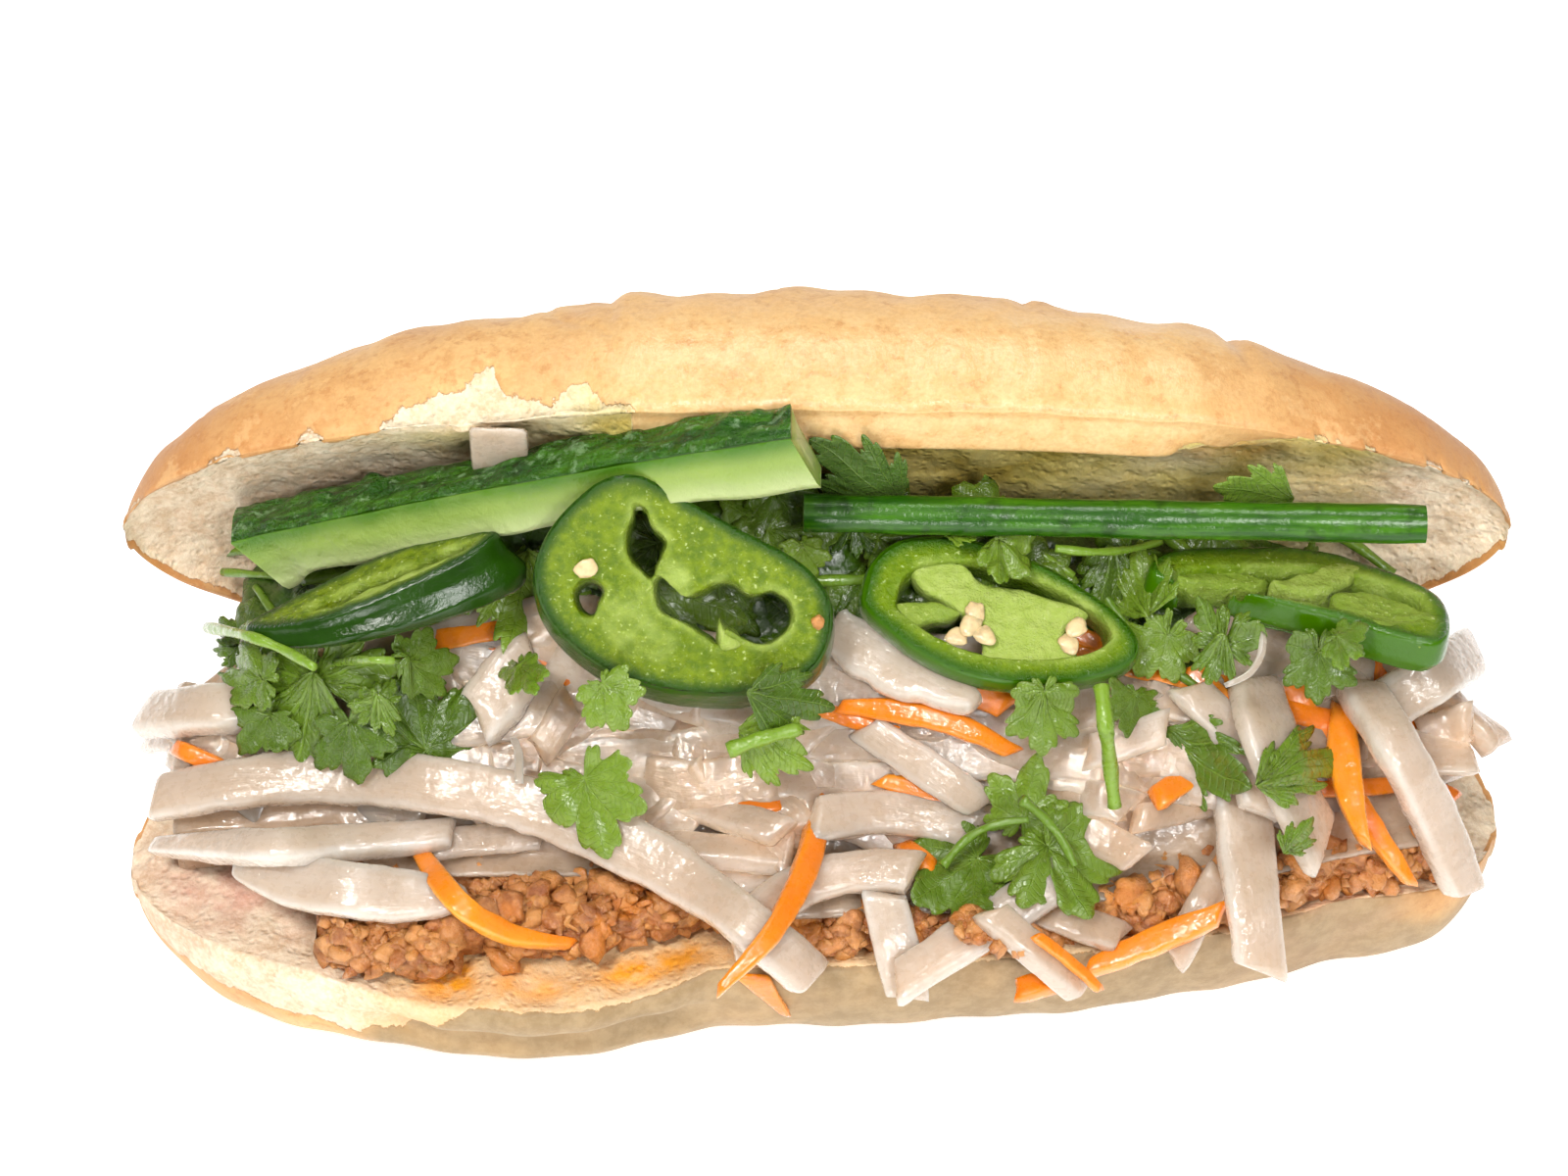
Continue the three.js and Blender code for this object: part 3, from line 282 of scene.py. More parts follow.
def face_y(x, z):
    """Where the upper half's cut face stands."""
    a = np.clip((z - CUT) / SIN - HINGE, -half_width(x), half_width(x))
    return opened(x, a, face_dish(x, a))[..., 1]


def spot(x, y, at, reach):
    """A soft round patch: 1 in its middle, fading over its reach."""
    return np.exp(-(((x - at[0]) / reach[0]) ** 2 + ((y - at[1]) / reach[1]) ** 2))


def bread_bottom():
    """The lower half: a crusty wall round a soft, open crumb."""
    profile = [(0.74, 0), (0.87, 0.12), (0.965, 0.36), (1.005, 0.66), (1, 0.9), (0.975, 0.985)]
    under = np.linspace(-0.72, 0.72, 14)[1:-1]
    up = catmull(profile, np.linspace(0, 5, 26))
    inside = np.linspace(0.94, -0.94, 120)
    n_under, n_wall, n_face = len(under), len(up), len(inside)
    n_back = n_under + n_wall
    xs = stations(330)
    rings, edge = [], []
    for x in xs:
        top = cut_height(x)
        foot = 10 * np.clip((abs(x) - 88) / 18, 0, 1) ** 2
        shift = 0.5 * wobble(x, 9)
        ys = bottom_y(x, inside)
        rim_b, rim_f = bottom_y(x, 0.94), bottom_y(x, -0.94)
        rings.append(np.concatenate([
            np.stack([np.full(n_under, x), bottom_y(x, under) + shift, np.full(n_under, foot)], -1),
            np.stack([np.full(n_wall, x), bottom_y(x, up[:, 0]) + shift, lerp(foot, top, up[:, 1])], -1),
            np.stack([np.full(n_face, x), ys, cut_face(np.full(n_face, x), ys)], -1),
            np.stack([np.full(n_wall, x), bottom_y(x, -up[::-1, 0]) + shift,
                      lerp(foot, top, up[::-1, 1])], -1)]))
        edge.append(np.concatenate([np.zeros(n_back), np.minimum(np.abs(ys - rim_b), np.abs(ys - rim_f)),
                                    np.zeros(n_wall)]))
    rings = np.asarray(rings)
    flat = rings.reshape(-1, 3)
    depth = np.asarray(edge).reshape(-1)
    ragged = 1.2 + 1.4 * fbm(flat, 9, 3, 5)
    crumb = smooth(depth, ragged * 0.4, ragged + 0.8)
    # In front the crumb shows far down the wall, most of all towards the ends.
    ring_no = np.tile(np.arange(rings.shape[1]), len(xs))
    front = (ring_no >= n_back + n_face // 2).astype(float)
    wall = (ring_no >= n_back + n_face).astype(float)
    z_share = np.clip(flat[:, 2] / CUT, 0, 1.2)
    end = smooth(-flat[:, 0], 50, 66)
    middle = lerp(0.98, 0.97, smooth(flat[:, 0], -22, -4))
    down = lerp(middle, 0.42, end) + 0.1 * fbm(flat * [1, 0, 0], 9, 4, 15) + 0.05 * fbm(flat, 2.5, 2, 16)
    crumb = np.maximum(crumb, wall * smooth(z_share, down, down + 0.07))
    crumb = np.where(front > 0, np.maximum(crumb, (1 - wall) * smooth(-flat[:, 1], 2, 8)), crumb)
    # The rim is torn and hangs over where it shows, with a hollow under it.
    rag = front * smooth(z_share, 0.6, 0.95) * (1 - smooth(z_share, 1.25, 1.4))
    long_tear = smooth(flat[:, 0], -78, -60) * (1 - smooth(flat[:, 0], -24, -14))
    flat[:, 1] -= rag * long_tear * (1.1 + 1.4 * fbm(flat * [1, 0.2, 0.4], 12, 3, 3))
    flat[:, 2] -= rag * long_tear * 1.2 * (1 + noise(flat, 7, 8))
    under_rag = front * long_tear * smooth(z_share, 0.3, 0.55) * (1 - smooth(z_share, 0.62, 0.78))
    flat[:, 1] += 2.4 * under_rag
    # Open crumb, and the crust's fine unevenness.
    dip = 0.7 * (0.5 - np.clip(pores(flat, 2.6, 1), 0, 0.5)) + 0.22 * fbm(flat, 1.8, 2, 6)
    flat[:, 2] -= crumb * (1 - wall) * (dip + 0.6 * fbm(flat, 6, 3, 2))
    flat[:, 1] += crumb * wall * (0.8 * dip + 0.8 * fbm(flat, 5, 3, 2) + 0.3)
    torn_front = smooth(flat[:, 0], -20, 0) * (1 - smooth(flat[:, 0], 86, 100)) * front
    flat[:, 1] += (1 - crumb) * torn_front * smooth(z_share, 0.75, 1) * 0.8 * fbm(flat, 5, 3, 12)
    lumps = 0.35 * fbm(flat, 14, 3, 9)
    core_line = np.stack([flat[:, 0], np.zeros(len(flat)), np.full(len(flat), 12.0)], -1)
    flat += ((1 - crumb) * lumps)[:, None] * unit(flat - core_line) * (flat[:, 2] > 1.5)[:, None]
    flat[:, 2] = np.maximum(flat[:, 2], 0)
    points, faces = closed(flat.reshape(rings.shape), 1.2)
    crumb = with_caps(crumb, rings.shape[1])
    x, y, z = points.T
    oil = spot(x, y, (-53, -33), (9, 6)) + 0.8 * spot(x, y, (-22, bottom_y(x, -0.8)), (22, 4))
    oil = np.clip(oil * (0.9 + 0.8 * noise(points, 5, 21)), 0, 1) * crumb
    pink = spot(x, y, (-88, -12), (16, 14)) + 0.9 * spot(x, y, (78, -24), (14, 9))
    pink = np.clip(pink * (0.8 + 0.9 * fbm(points, 7, 2, 22)), 0, 1)
    bake = (np.clip(0.25 + 0.75 * smooth(np.abs(x), 70, 104) + 0.35 * fbm(points, 25, 3, 30), 0, 1)
            * smooth(z, 4, 20))
    # pale marks the front wall, where the shader paints shade: a dull, darker khaki crust and a darker crumb.
    pale = smooth(z, 16, 8) * smooth(x, -78, -58) + smooth(x, -74, -56) * (1 - smooth(x, 84, 98))
    heap = Heap()
    heap.add(points, faces, crumb=crumb, oil=oil, pink=pink * np.maximum(crumb, 0.2), bake=bake, soak=0, gloss=0,
             pale=(1 - smooth(y, -6, 12)) * np.clip(pale, 0, 1))
    return heap


def bread_top():
    """The upper half, turned back: a smooth glossy dome over crumb that is torn along its rim."""
    steps, n_inside = 128, 132
    inside = np.linspace(0.985, -0.985, n_inside)
    xs = stations(350)
    turn = (np.arange(steps + 1) / steps - 0.5) * math.pi
    turn = turn - 0.35 * np.sin(2 * turn)  # finer towards the rims
    a, h = [], []
    for x in xs:
        half = half_width(x) + 0.5 * wobble(x, 4, 1)
        across = half * np.sign(np.sin(turn)) * np.abs(np.sin(turn)) ** 0.9
        dome = dome_height(np.full(steps + 1, x), across) * np.abs(np.cos(turn)) ** 0.78
        a.append(np.concatenate([across, inside * half]))
        h.append(np.concatenate([dome, face_dish(np.full(n_inside, x), inside * half)]))
    a, h = np.asarray(a), np.asarray(h)
    m = a.shape[1]
    x = np.repeat(xs[:, None], m, 1)
    soft_side = np.broadcast_to((np.arange(m) > steps)[None], a.shape).astype(float)
    half = half_width(x) + 0.5 * wobble(x, 4, 1)
    flat = np.stack([x, a, h], -1)
    front = (a > 0)
    ragged = (1.5 + 2.2 * fbm(flat * [1, 1, 0], 11, 3, 41) + 1.2 * fbm(flat * [1, 1, 0], 3, 2, 42)
              + 8.5 * lip_share(x))
    ragged += 2.6 * fbm(flat * [1, 1, 0], 4, 3, 44) * smooth(np.abs(x), 40, 60)
    ragged = np.where(front, ragged, 1.0)
    depth = np.where(front, half - a, half + a)
    # Where the crust is torn the crumb shows outside the rim too.
    rip_up = smooth(x, -66, -60) * (1 - smooth(x, -34, -24)) * (2.0 + 4.5 * np.abs(fbm(flat * [1, 0, 0], 7, 3, 45)))
    rip_up += 4.5 * np.exp(-((x + 49) / 4.5) ** 2)
    rip_up += 1.8 * smooth(np.abs(x), 60, 70) * np.abs(fbm(flat * [1, 0, 0], 4, 3, 46))
    rip_up += rip_up * 0.5 * fbm(flat * [1, 0, 1], 2.2, 3, 48)
    ragged = ragged * (1 - smooth(rip_up, 0.4, 1.2))
    crumb = soft_side * smooth(depth, ragged, ragged + 0.9)
    # The crust stands a little proud of the crumb, which is open and torn.
    dip = 0.9 * (0.5 - np.clip(pores(flat, 2.4, 51), 0, 0.5)) + 0.25 * fbm(flat, 1.8, 2, 54)
    h = h + crumb * (0.7 + dip + 0.8 * fbm(flat, 6, 3, 52))
    outer = (1 - soft_side) * front * smooth(h, rip_up + 1.3, rip_up - 0.9) * smooth(rip_up, 0.3, 1.0)
    crumb = np.maximum(crumb, outer)
    a = a - outer * (0.9 + dip + 0.5 * fbm(flat, 3, 2, 47))
    # A torn white patch where the crust has pulled away.
    patch = np.exp(-(((x + 55) / 9) ** 2 + ((a - half + 3.5) / 4) ** 2))
    h = h - soft_side * patch * (1.4 + 1.4 * fbm(flat, 3.2, 3, 57))
    # The dome: a slack skin near the folds, fine cracks, creases and scuffs.
    near_fold = sum(np.exp(-((x - c - k * a) / 9) ** 2) for c, _, k in CREASES)
    skin = 0.5 * fbm(flat * [1, 0.6, 1], 16, 4, 60) + (0.35 + near_fold) * 0.4 * fbm(flat * [1, 0.3, 1], 5, 4, 61)
    cracks = np.abs(fbm(flat * [1, 0.45, 1], 22, 2, 62))
    skin -= 0.5 * np.exp(-(cracks / 0.03) ** 2) * smooth(fbm(flat, 40, 1, 63), 0.1, 0.4)
    for c, _, k in CREASES:
        path = x - c - k * a + 1.6 * fbm(flat * [0, 1, 1], 9, 3, 64)
        skin -= 0.7 * np.exp(-(path / 0.6) ** 2) * (0.6 + 0.4 * noise(flat, 8, 65))
    scuffs = np.abs(fbm(flat * [1, 0.14, 0.3], 4.5, 3, 66))
    skin -= 0.3 * np.exp(-(scuffs / 0.035) ** 2) * smooth(fbm(flat, 22, 2, 67), 0.0, 0.3)
    h = h + (1 - soft_side) * skin * np.minimum(1, np.abs(h) / 6)
    points, faces = closed(opened(x, a, h), 1.4)
    crumb, x, a, h = (with_caps(v, m) for v in (crumb, x, a, h))
    soak = smooth(x, -48, -30) * (1 - smooth(x, 78, 92)) * smooth(a, -30, 5)
    soak = soak * (0.75 + 0.6 * fbm(points, 14, 3, 71)) + 0.6 * spot(x, a, (-52, 24), (12, 8))
    oil = spot(x, a, (62, 20), (7, 5)) * (0.8 + 0.5 * noise(points, 4, 72)) * crumb
    pink = 0.35 * spot(x, a, (84, 8), (12, 12)) + 0.35 * spot(x, a, (-80, -5), (20, 18))
    bake = 0.1 + 0.7 * smooth(np.abs(x + 4), 38, 100) + 0.5 * fbm(points, 30, 4, 73) + 0.55 * smooth(a, 24, -12)
    bake -= 0.35 * smooth(x, -40, -20) * (1 - smooth(x, 40, 70)) * smooth(a, 5, 30)
    heap = Heap()
    # The lip is marked glossy: the shader makes it shinier and paints a lighter sheen on it, a painted highlight.
    heap.add(points, faces, crumb=crumb, oil=np.clip(oil, 0, 1), pink=np.clip(pink, 0, 1), bake=np.clip(bake, 0, 1),
             soak=np.clip(soak, 0, 1) * crumb, pale=0,
             gloss=lip_share(x) * smooth(a, 10, 30) * (1 - smooth(h, 14, 26)))
    return heap


# ------------------------------------------------------------------ the pile, as in the solids
# Places on the photograph's sheet are [x, v]: along the roll, and up a sheet that leans back over its
# mouth, square to the camera's line of sight. EYE is the camera.
PORK_TOP, PORK_LEFT, PORK_RIGHT = 27.0, -76.0, 98.0
PILE_RISE, PILE_FRONT, PILE_DEPTH, PICKLE_RISE = 39.0, -18.0, 41.0, 18.0
HERB_FRONT, SINK, GAP = 1.5, 1.2, 0.5
LIMPNESS, DROOP = 0.4, 0.05
LIFT = math.radians(50)
SHEET_MIDDLE = np.array([-5, 13.6, 56.5])
TO_EYE = np.array([0, -math.cos(LIFT), math.sin(LIFT)])
SHEET_UP = np.array([0, math.sin(LIFT), math.cos(LIFT)])
FAR = 700
EYE = SHEET_MIDDLE + FAR * TO_EYE


def end_share(x):
    """How much of the pile's height is left at x; it falls off towards the ends."""
    return np.maximum(0, 1 - np.abs(x / 108) ** 3)


def pile_top(x, y, rise=PILE_RISE):
    t = (y - PILE_FRONT) / PILE_DEPTH
    soft = np.minimum(1.05, 0.5 * (t + np.sqrt(t * t + 0.0144)))
    return PORK_TOP + np.minimum(PILE_RISE * end_share(x) * soft, rise * end_share(x))


def skirt_share(x):
    """1 where the pickles come down over the pork to the rim."""
    return smooth(x, -22, -8) * (1 - smooth(x, 40, 54))


def pork_top(x, y):
    loose = 1 - np.maximum(smooth(y, PILE_FRONT - 5, PILE_FRONT - 1), skirt_share(x))
    return PORK_TOP + loose * (1.4 * wobble(x * 2.2, y * 2.6, 5) + 0.9 * wobble(x * 5.1, y * 4.7, 2))


def pork_set_back(x):
    return 6 * smooth(x, -62, -50) * (1 - smooth(x, -18, -6))


def pork_front(x):
    return bottom_y(x, -0.86) + pork_set_back(x) + 1.2 * wobble(x * 2.5, 3, 4)


def pickle_front(x):
    return np.maximum(lerp(PILE_FRONT - 1, -27, skirt_share(x)), bottom_y(x, -0.8))


def pickle_top(x, y):
    return np.maximum(pile_top(x, y, PICKLE_RISE) - SINK,
                      np.where(y > pickle_front(x), PORK_TOP + 0.7 + 2.2 * skirt_share(x), 0))


def back_y(x, z):
    return np.minimum(face_y(x, z) - 0.8, bottom_middle(x) + 0.85 * half_width(x) + 0.6 * (z - CUT))


def sight(places):
    """The rays from the camera through places on the sheet."""
    places = np.asarray(places, float)
    ray = SHEET_MIDDLE + places[..., 1:2] * SHEET_UP - EYE
    ray[..., 0] = places[..., 0] - EYE[0]
    return ray


def along_sight(places, height):
    """Where the rays reach a height."""
    ray = sight(places)
    return EYE + ray * ((np.asarray(height, float) - EYE[2]) / ray[..., 2])[..., None]


def along_sight_to_depth(place, y):
    """Where the ray reaches a distance from the mouth."""
    ray = sight(place)
    return EYE + ray * (y - EYE[1]) / ray[..., 1]


def along_sight_to_face(places, off):
    """Where the rays come so close to the upper half's cut face."""
    ray = sight(places)
    t = (-off - (EYE[1] - HINGE) * SIN - (EYE[2] - CUT) * COS) / (ray[..., 1] * SIN + ray[..., 2] * COS)
    return EYE + ray * t[..., None]


def on_pile(places, lift):
    """Where the rays meet the pile, raised by lift."""
    places = np.atleast_2d(np.asarray(places, float))
    levels = np.arange(120, 10, -0.25)
    points = along_sight(places[:, None, :], np.broadcast_to(levels, (len(places), len(levels))))
    hit = levels[None] <= pile_top(points[..., 0], points[..., 1]) + lift
    first = np.where(hit.any(1), hit.argmax(1), len(levels) - 1)
    return points[np.arange(len(places)), first]


# A height map of the pile, in cells of 1 mm, and which piece lies on top in each cell.
MAP_X, MAP_Y, NX, NY = -120, -60, 240, 120
heights = np.full((NX, NY), -60.0)
owners = np.zeros((NX, NY), int)
OWNER = {}


def owner_id(name):
    return OWNER.setdefault(name, len(OWNER) + 1)


def cell_of(x, y):
    i = np.clip(np.floor(np.asarray(x) - MAP_X).astype(int), 0, NX - 1)
    j = np.clip(np.floor(np.asarray(y) - MAP_Y).astype(int), 0, NY - 1)
    return i, j


def raise_map(points, owner):
    """Raises the map to the points, which now carry what is laid there."""
    points = np.asarray(points).reshape(-1, 3)
    i, j = cell_of(points[:, 0], points[:, 1])
    order = np.argsort(points[:, 2])
    i, j, z = i[order], j[order], points[order, 2]
    over = z > heights[i, j]
    heights[i[over], j[over]] = z[over]
    owners[i[over], j[over]] = owner_id(owner)


def soft_height(x, y, reach):
    """The map's mean height round a place."""
    total, count = 0, 0
    for dx in (-reach, 0, reach):
        for dy in (-reach, 0, reach):
            z = heights[cell_of(x + dx, y + dy)]
            total = total + np.where(z < 0, 0, z)
            count = count + (z >= 0)
    return np.where(count > 0, total / np.maximum(count, 1), -60)


def support(x, y, owner, sink):
    """The height that carries a piece: a gap above others, sunk into its own heap."""
    i, j = cell_of(x, y)
    return heights[i, j] + np.where(owners[i, j] == owner_id(owner), -sink, GAP)


def start_map():
    """Fills the map with the bread, the pork, the pickles' core and the herbs' core."""
    x, y = np.meshgrid(MAP_X + 0.5 + np.arange(NX), MAP_Y + 0.5 + np.arange(NY), indexing="ij")
    inside = np.abs(x) < HALF - 0.5
    bread = inside & (y > bottom_y(x, -1)) & (y < bottom_y(x, 1))
    pork = (x > PORK_LEFT) & (x < PORK_RIGHT) & (y > pork_front(x))
    pickle = (np.abs(x) < 99) & (y > pickle_front(x)) & (y < 34)
    herb = pickle & (y > HERB_FRONT) & (pile_top(x, y) > pile_top(x, y, PICKLE_RISE) + 1)
    for mask, z, name in ((bread, cut_face(x, y), "bread"), (pork, pork_top(x, y), "pork"),
                          (pickle, pickle_top(x, y) - 1.2, "pickles"),
                          (herb, pile_top(x, y) - SINK - 0.8, "herbs")):
        over = mask & (z > heights)
        heights[over] = z[over]
        owners[over] = owner_id(name)


def rest_on(floor, apart):
    """How a limp stick lies over a row of floor heights; see the same routine of the solids."""
    floor = [float(z) for z in floor]
    held = [(i, z) for i, z in enumerate(floor) if z > 0]
    if not held:
        return [20.0] * len(floor)
    first, last = held[0][0], held[-1][0]
    hull = []
    for p in held:
        while len(hull) > 1:
            (i, a), (j, b) = hull[-2], hull[-1]
            if (b - a) * (p[0] - i) > (p[1] - a) * (j - i):
                break
            hull.pop()
        hull.append(p)
    rest = list(np.interp(range(len(floor)), [p[0] for p in hull], [p[1] for p in hull]))
    soft = list(floor)
    for _ in range(3):
        near = [soft[min(max(i, first), last)] for i in range(-1, len(soft) + 1)]
        soft = [(near[i] + near[i + 1] + near[i + 2]) / 3 for i in range(len(soft))]
    for i in range(first, last + 1):
        rest[i] = max(floor[i], lerp(rest[i], max(0, soft[i]), LIMPNESS))
    for start, end, way in ((last, len(floor), 1), (first, -1, -1)):
        inner = rest[min(max(start - way, first), last)]
        slope = min(max((rest[start] - inner) / apart, -0.5), 0.2)
        for i in range(start + way, end, way):
            slope = max(-1.1, slope - DROOP * apart)
            rest[i] = rest[i - way] + slope * apart
    return rest


def wall_y(x, z):
    """Where the lower half's front wall stands."""
    up = np.clip(z / cut_height(x) / 0.66, 0, 1)
    return bottom_y(x, -(1.005 - 0.265 * (1 - up) ** 3.4))


def clear_of_wall(places, start, apart):
    """The lowest points on the lines of sight, from the given heights up, that are clear of the lower wall."""
    points = []
    for place, z in zip(places, start):
        point = along_sight(place, z)
        while point[2] < cut_height(point[0]) + apart:
            point = along_sight(place, z)
            if point[1] < wall_y(point[0], z) - apart:
                break
            z += 0.5
        points.append(point)
    return np.array(points)


def lay(start, end, bow, width, thick, taper, owner, sink, step, mark):
    """Lays a strip on the pile: its spine, its side and up directions and its half width, at stations."""
    start, end = np.asarray(start, float), np.asarray(end, float)
    flat = end - start
    length = np.hypot(*flat)
    count = max(4, int(round(length / step)) + 1)
    t = np.arange(count) / (count - 1)
    out = 4 * bow * t * (1 - t) / length
    places = np.stack([start[0] + flat[0] * t - flat[1] * out, start[1] + flat[1] * t + flat[0] * out], -1)
    spine = on_pile(places, thick)
    ahead, behind = np.minimum(np.arange(count) + 1, count - 1), np.maximum(np.arange(count) - 1, 0)
    for _ in range(3):
        d = spine[ahead, :2] - spine[behind, :2]
        d /= np.linalg.norm(d, axis=1, keepdims=True)
        sides = np.stack([-d[:, 1], d[:, 0]], -1)
        reach = width * 0.45
        far = soft_height(spine[:, 0] + sides[:, 0] * reach, spine[:, 1] + sides[:, 1] * reach, 2)
        near = soft_height(spine[:, 0] - sides[:, 0] * reach, spine[:, 1] - sides[:, 1] * reach, 2)
        lean = np.where(np.minimum(far, near) < 0, 0, np.clip((far - near) / (2 * reach), -0.85, 0.85))
        for _ in range(3):
            lean = (lean[behind] + lean + lean[ahead]) / 3
        off = np.linspace(-1, 1, 7)[:, None] * width * 0.5
        z = support(spine[:, 0] + sides[:, 0] * off, spine[:, 1] + sides[:, 1] * off, owner, sink) - lean * off
        rest = rest_on(np.maximum(z.max(0), -60), length / (count - 1))
        spine = clear_of_wall(places, np.asarray(rest) + thick / 2, thick / 2 + 0.3)
    along = unit(spine[ahead] - spine[behind])
    across = np.concatenate([sides, lean[:, None]], 1)
    across = unit(across - along * (along * across).sum(1, keepdims=True))
    up = np.cross(along, across)
    up[up[:, 2] < 0] *= -1
    half = width / 2 * (1 - taper * 0.75 * t ** 2)
    if mark:
        s = np.linspace(0, 1, 9)[:, None, None, None]
        k = np.linspace(-1, 1, 17)[None, :, None, None]
        top = spine + up * thick / 2
        edge = across * half[:, None]
        a = top[None, None, :-1] + edge[None, None, :-1] * k
        b = top[None, None, 1:] + edge[None, None, 1:] * k
        raise_map(lerp(a, b, s), owner)
    return spine, across, up, half, length


def strip_shape(laid, thick, rng, rough=0.35, slant=0.5, ends=(1.0, 1.0), blunt=False, spacing=0.8):
    """A cut strip: flat faces, ragged edges, slanted ends. Gives (points, faces, values)."""
    spine, across, up, half, length = laid
    n = max(10, int(length / spacing))
    t = np.linspace(0, len(spine) - 1, n)
    s = np.linspace(0, 1, n)
    p, a, u = catmull(spine, t), unit(catmull(across, t)), unit(catmull(up, t))
    w = catmull(half[:, None], t)[:, 0]
    along = unit(np.gradient(p, axis=0))
    seed = int(rng.integers(1, 9999))
    line = np.stack([s * length, np.full(n, seed * 3.7), np.zeros(n)], -1)
    m = 20
    angle = 2 * np.pi * (np.arange(m) + 0.5) / m
    cx = np.sign(np.cos(angle)) * np.abs(np.cos(angle)) ** 0.46
    cy = np.sign(np.sin(angle)) * np.abs(np.sin(angle)) ** 0.55
    left = 1 + rough * (0.4 * fbm(line, 11, 3, seed) + 0.14 * noise(line, 2.2, seed + 2))
    right = 1 + rough * (0.4 * fbm(line, 11, 3, seed + 5) + 0.14 * noise(line, 2.2, seed + 6))
    thin = 1 + 0.22 * fbm(line, 16, 2, seed + 9)
    # Ends narrow a little, cut at a slant.
    tip = np.minimum(1, np.minimum(s * length / 1.6 + 0.4, (1 - s) * length / 1.6 + 0.4))
    narrow = np.minimum(lerp(ends[0], 1, smooth(s, 0, 0.3)), lerp(ends[1], 1, smooth(1 - s, 0, 0.3)))
    w = w * narrow
    if blunt:
        w = w * np.sqrt(np.clip(1 - np.abs(2 * s - 1) ** 5, 0.05, 1))
    side = np.where(cx > 0, right[:, None], left[:, None]) * cx
    torn = np.stack([0 * cx, cx * w.mean(), 0 * cx], -1)
    near_end = smooth(s, 2.5 / length, 0)[:, None], smooth(1 - s, 2.5 / length, 0)[:, None]
    cut = slant * (smooth(1 - s, 0.12, 0) + smooth(s, 0.12, 0))[:, None] * side * w[:, None]
    cut = cut + 1.1 * rough * (near_end[0] * fbm(torn, 2.5, 2, seed + 20)
                               + near_end[1] * fbm(torn, 2.5, 2, seed + 21))
    twist = 0.22 * fbm(line, 26, 2, seed + 14)[:, None]
    x = side * w[:, None] * lerp(0.82, 1, tip)[:, None]
    y = cy * (thick / 2) * (thin * tip)[:, None]
    y = y + twist * x
    pts = p[:, None] + a[:, None] * x[..., None] + u[:, None] * y[..., None] + along[:, None] * cut[..., None]
    cells = pts.reshape(-1, 3)
    shake = (0.1 * noise3(cells, 2.1, seed, seed + 1, seed + 2)
             + 0.03 * noise3(cells, 0.9, seed + 3, seed + 4, seed + 5))
    points, faces = closed((cells + shake).reshape(pts.shape))
    far = np.concatenate([np.repeat(s * length, m), [0, length]])
    wide = np.concatenate([(side * w[:, None]).ravel(), [0, 0]])
    return points, faces, {"far": far, "wide": wide, "seed": np.full(len(points), rng.random()),
                           "brink": np.concatenate([np.tile(np.abs(cx), n), [1, 1]])}


# Places are [x, v]: along the roll, and up a sheet that leans back over its mouth.
# Rows: kind, from, to, bow, width, thick, taper. What stays in the heap comes first.
HEAPED = [
    ("d", (-60, -28), (-41, -26), 0, 6, 3.2, 0), ("d", (30, -29), (47, -24), 0, 5, 3.2, 0),
    ("d", (4, -42), (16, -45), 0, 6, 3.2, 0), ("d", (-20, -45), (-5, -42), 0, 6.5, 3.2, 0),
    ("d", (56, -12), (64, -21), 0, 4.5, 3.2, 0), ("d", (-101, -23), (-89, -23), 0, 4, 3.2, 0),
    ("d", (-25, -39), (-4, -41), 0, 5.5, 3.2, 0), ("d", (-39, -25), (-2, -37), 6, 5.5, 3.5, 0),
    ("d", (-2, -29), (10, -28), 0, 5.5, 3.2, 0), ("d", (40, -40), (47, -27), 0, 9, 4, 0),
    ("d", (48, -35), (66, -31), 0, 4.5, 3.5, 0), ("d", (46, -16), (56, -22), 0, 7, 4, 0),
    ("d", (94, -16), (103, -24), 0, 6, 4, 0), ("d", (35, -49), (46, -53), 0, 5.5, 3, 0),
    ("d", (61, -43), (54, -56), 0, 5, 3, 0),
]
# Slighter ones among them.
AMONG = [
    ("d", (-58, -39), (-41, -37), 0, 5, 3, 0), ("d", (-25, -31), (-5, -37), 0, 5, 3, 0),
    ("d", (-1, -35), (24, -37), 2, 6.5, 3.5, 0), ("d", (41, -25), (53, -21), 0, 5.5, 3, 0),
    ("c", (-14, -19), (-4, -22), 0, 2.5, 2.5, 0), ("c", (-42, -17), (-36, -12), 0, 3.2, 2.5, 0),
    ("c", (-58, -8), (-47, -6), 0, 3.4, 2.5, 0), ("c", (13, -11), (29, -18), 0, 4.2, 3, 0),
    ("c", (56, -12), (64, -21), 0, 4.5, 3, 0), ("c", (51, -32), (59, -27), 0, 3.8, 3, 0),
    ("c", (84.5, -10), (85.5, -18), 0, 3, 2.5, 0), ("c", (71, -14), (80, -30), 0, 3.8, 2.5, 0),
    ("c", (13, -39), (18, -43), 0, 2.8, 2.5, 0), ("c", (-97, -24), (-90, -27), 0, 2.8, 2.5, 0),
    ("d", (-26, -35), (-17, -27), 0, 4, 3, 0), ("d", (-37, -17), (-42, -25), 0, 5, 3.5, 0),
    ("d", (90, -23), (99, -20), 0, 6, 3, 0), ("c", (30, -61), (37, -59), 0, 4, 3, 0),
]
